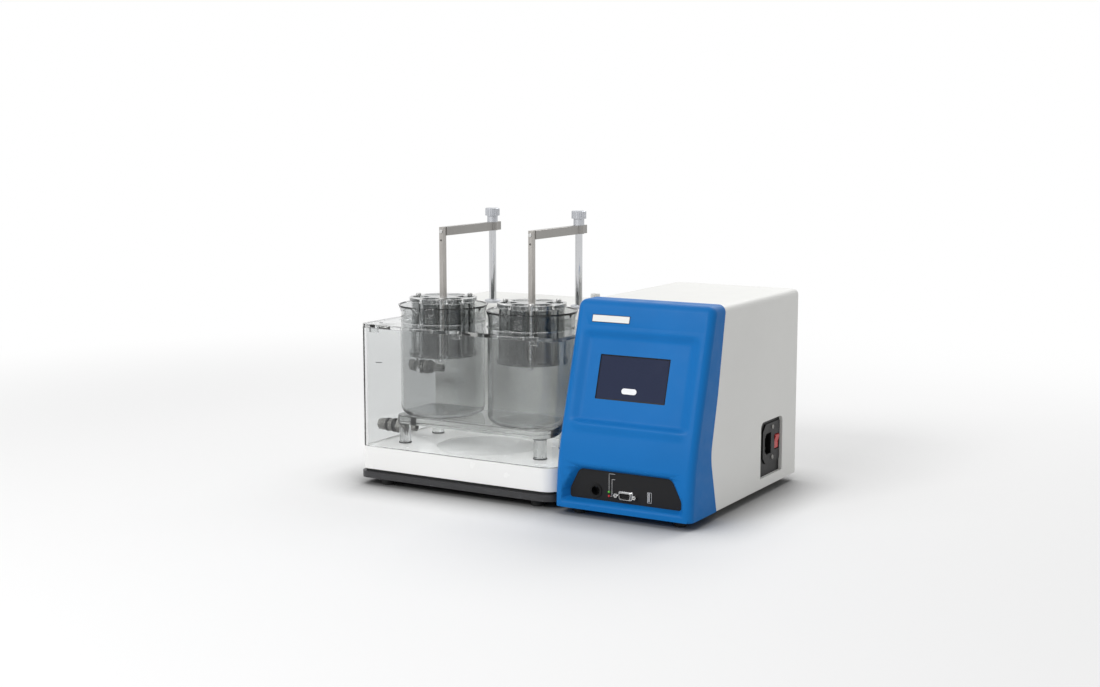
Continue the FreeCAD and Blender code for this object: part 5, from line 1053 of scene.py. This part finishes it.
class TESTER_OT_stage(Operator):
    """Floor, lights, surroundings and camera"""

    bl_idname = "tester.stage"
    bl_label = "Stage"

    def execute(self, context):
        scene = context.scene
        scene.view_settings.view_transform = "Standard"
        scene.cycles.max_bounces = 24
        scene.cycles.transmission_bounces = 24
        scene.cycles.transparent_max_bounces = 32
        self.floor()
        self.surroundings()
        for lamp in LAMPS:
            self.lamp(*lamp)
        self.camera()
        return {"FINISHED"}

    def floor(self):
        bm = bmesh.new()
        bmesh.ops.create_grid(bm, x_segments=2, y_segments=2, size=FLOOR_HALF_SIZE)
        mesh = bpy.data.meshes.new("floor")
        bm.to_mesh(mesh)
        bm.free()
        floor = bpy.data.objects.new("floor", mesh)
        bpy.context.scene.collection.objects.link(floor)
        pale = Finish("pale floor", 0.9)
        shade = pale.add("ShaderNodeAmbientOcclusion", Distance=CONTACT_REACH)
        shade.samples = 8
        pale.tint(shade.outputs["AO"], (CONTACT_SHADE,) * 3, (FLOOR_SEEN,) * 3, 0.4, 0.98)
        pale.set("Specular IOR Level", 0.0)
        path = pale.add("ShaderNodeLightPath")
        seen = self.any_of(pale.tree, path, ("Is Camera Ray", "Is Glossy Ray", "Is Transmission Ray"))
        white = pale.add("ShaderNodeEmission", Color=(1, 1, 1, 1), Strength=1.0)
        fade = pale.add("ShaderNodeMixShader")
        pale.link(self.distance(pale, *FLOOR_FADE), fade.inputs["Fac"])
        pale.link(pale.shader.outputs["BSDF"], fade.inputs[1])
        pale.link(white.outputs["Emission"], fade.inputs[2])
        pick = pale.add("ShaderNodeMixShader")
        pale.link(seen, pick.inputs["Fac"])
        bounce = pale.add("ShaderNodeBsdfDiffuse", Color=(*(FLOOR_BOUNCE,) * 3, 1))
        pale.link(bounce.outputs["BSDF"], pick.inputs[1])
        pale.link(fade.outputs["Shader"], pick.inputs[2])
        pale.link(pick.outputs["Shader"], pale.output.inputs["Surface"])
        mesh.materials.append(pale.material)

    def distance(self, finish, near, far):
        """Share that grows from none to all between two distances from the middle, in metres."""
        coords = finish.add("ShaderNodeTexCoord")
        length = finish.add("ShaderNodeVectorMath")
        length.operation = "LENGTH"
        finish.link(coords.outputs["Object"], length.inputs[0])
        share = finish.add("ShaderNodeMapRange", From_Min=near, From_Max=far)
        share.interpolation_type = "SMOOTHSTEP"
        finish.link(length.outputs["Value"], share.inputs["Value"])
        return share.outputs["Result"]

    def any_of(self, tree, path, rays):
        """Output that is one where any of the named kinds of ray looks."""
        value = path.outputs[rays[0]]
        for ray in rays[1:]:
            pick = tree.nodes.new("ShaderNodeMath")
            pick.operation = "MAXIMUM"
            tree.links.new(value, pick.inputs[0])
            tree.links.new(path.outputs[ray], pick.inputs[1])
            value = pick.outputs["Value"]
        return value

    def surroundings(self):
        world = bpy.data.worlds.new("studio")
        world.use_nodes = True
        tree = world.node_tree
        tree.nodes.clear()
        path = tree.nodes.new("ShaderNodeLightPath")
        seen = self.any_of(tree, path, ("Is Camera Ray", "Is Glossy Ray", "Is Transmission Ray"))
        plain = tree.nodes.new("ShaderNodeBackground")
        plain.inputs["Color"].default_value = (1, 1, 1, 1)
        plain.inputs["Strength"].default_value = ROOM_LIGHT
        white = tree.nodes.new("ShaderNodeBackground")
        white.inputs["Color"].default_value = (1, 1, 1, 1)
        white.inputs["Strength"].default_value = 1.0
        mix = tree.nodes.new("ShaderNodeMixShader")
        out = tree.nodes.new("ShaderNodeOutputWorld")
        tree.links.new(seen, mix.inputs["Fac"])
        tree.links.new(plain.outputs["Background"], mix.inputs[1])
        tree.links.new(white.outputs["Background"], mix.inputs[2])
        tree.links.new(mix.outputs["Shader"], out.inputs["Surface"])
        bpy.context.scene.world = world

    def lamp(self, name, place, width, depth, power):
        data = bpy.data.lights.new(name, "AREA")
        data.shape = "RECTANGLE"
        data.size = width
        data.size_y = depth
        data.energy = power
        lamp = bpy.data.objects.new(name, data)
        bpy.context.scene.collection.objects.link(lamp)
        lamp.location = place
        aim = Vector(LAMP_AIM) - Vector(place)
        lamp.rotation_euler = aim.to_track_quat("-Z", "Y").to_euler()
        lamp.visible_camera = False

    def camera(self):
        data = bpy.data.cameras.new("camera")
        data.lens = CAMERA_LENS
        data.sensor_width = 36.0
        camera = bpy.data.objects.new("camera", data)
        bpy.context.scene.collection.objects.link(camera)
        camera.location = CAMERA_PLACE
        turn, drop = CAMERA_TURN, CAMERA_DROP
        aim = Vector((-math.sin(turn) * math.cos(drop), math.cos(turn) * math.cos(drop), -math.sin(drop)))
        camera.rotation_euler = aim.to_track_quat("-Z", "Y").to_euler()
        bpy.context.scene.camera = camera


class TESTER_PT_sidebar(Panel):
    """Sizes, colours and the steps that build the tester"""

    bl_idname = "TESTER_PT_sidebar"
    bl_label = "Disintegration Tester"
    bl_space_type = "VIEW_3D"
    bl_region_type = "UI"
    bl_category = "Tester"

    def draw(self, context):
        layout = self.layout
        for group in (context.scene.tester_sizes, context.scene.tester_colours):
            box = layout.box()
            for name in group.__annotations__:
                box.prop(group, name)
        for operator in STEPS:
            layout.operator(operator.bl_idname)


STEPS = (
    TESTER_OT_base, TESTER_OT_bath, TESTER_OT_platform, TESTER_OT_beakers, TESTER_OT_baskets,
    TESTER_OT_arms, TESTER_OT_fittings, TESTER_OT_housing, TESTER_OT_drive, TESTER_OT_control,
    TESTER_OT_screen, TESTER_OT_connectors, TESTER_OT_power, TESTER_OT_screws, TESTER_OT_stage,
)
CLASSES = (TesterSizes, TesterColours, *STEPS, TESTER_PT_sidebar)


def register():
    for cls in CLASSES:
        bpy.utils.register_class(cls)
    bpy.types.Scene.tester_sizes = PointerProperty(type=TesterSizes)
    bpy.types.Scene.tester_colours = PointerProperty(type=TesterColours)


def unregister():
    del bpy.types.Scene.tester_colours
    del bpy.types.Scene.tester_sizes
    for cls in reversed(CLASSES):
        bpy.utils.unregister_class(cls)


def plain(box):
    return [[float(c) for c in corner] for corner in box]


def main():
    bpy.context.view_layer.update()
    register()
    FINISHES.update(make_finishes())
    for operator in STEPS:
        family, name = operator.bl_idname.split(".")
        getattr(getattr(bpy.ops, family), name)()


if __name__ == "__main__":
    main()
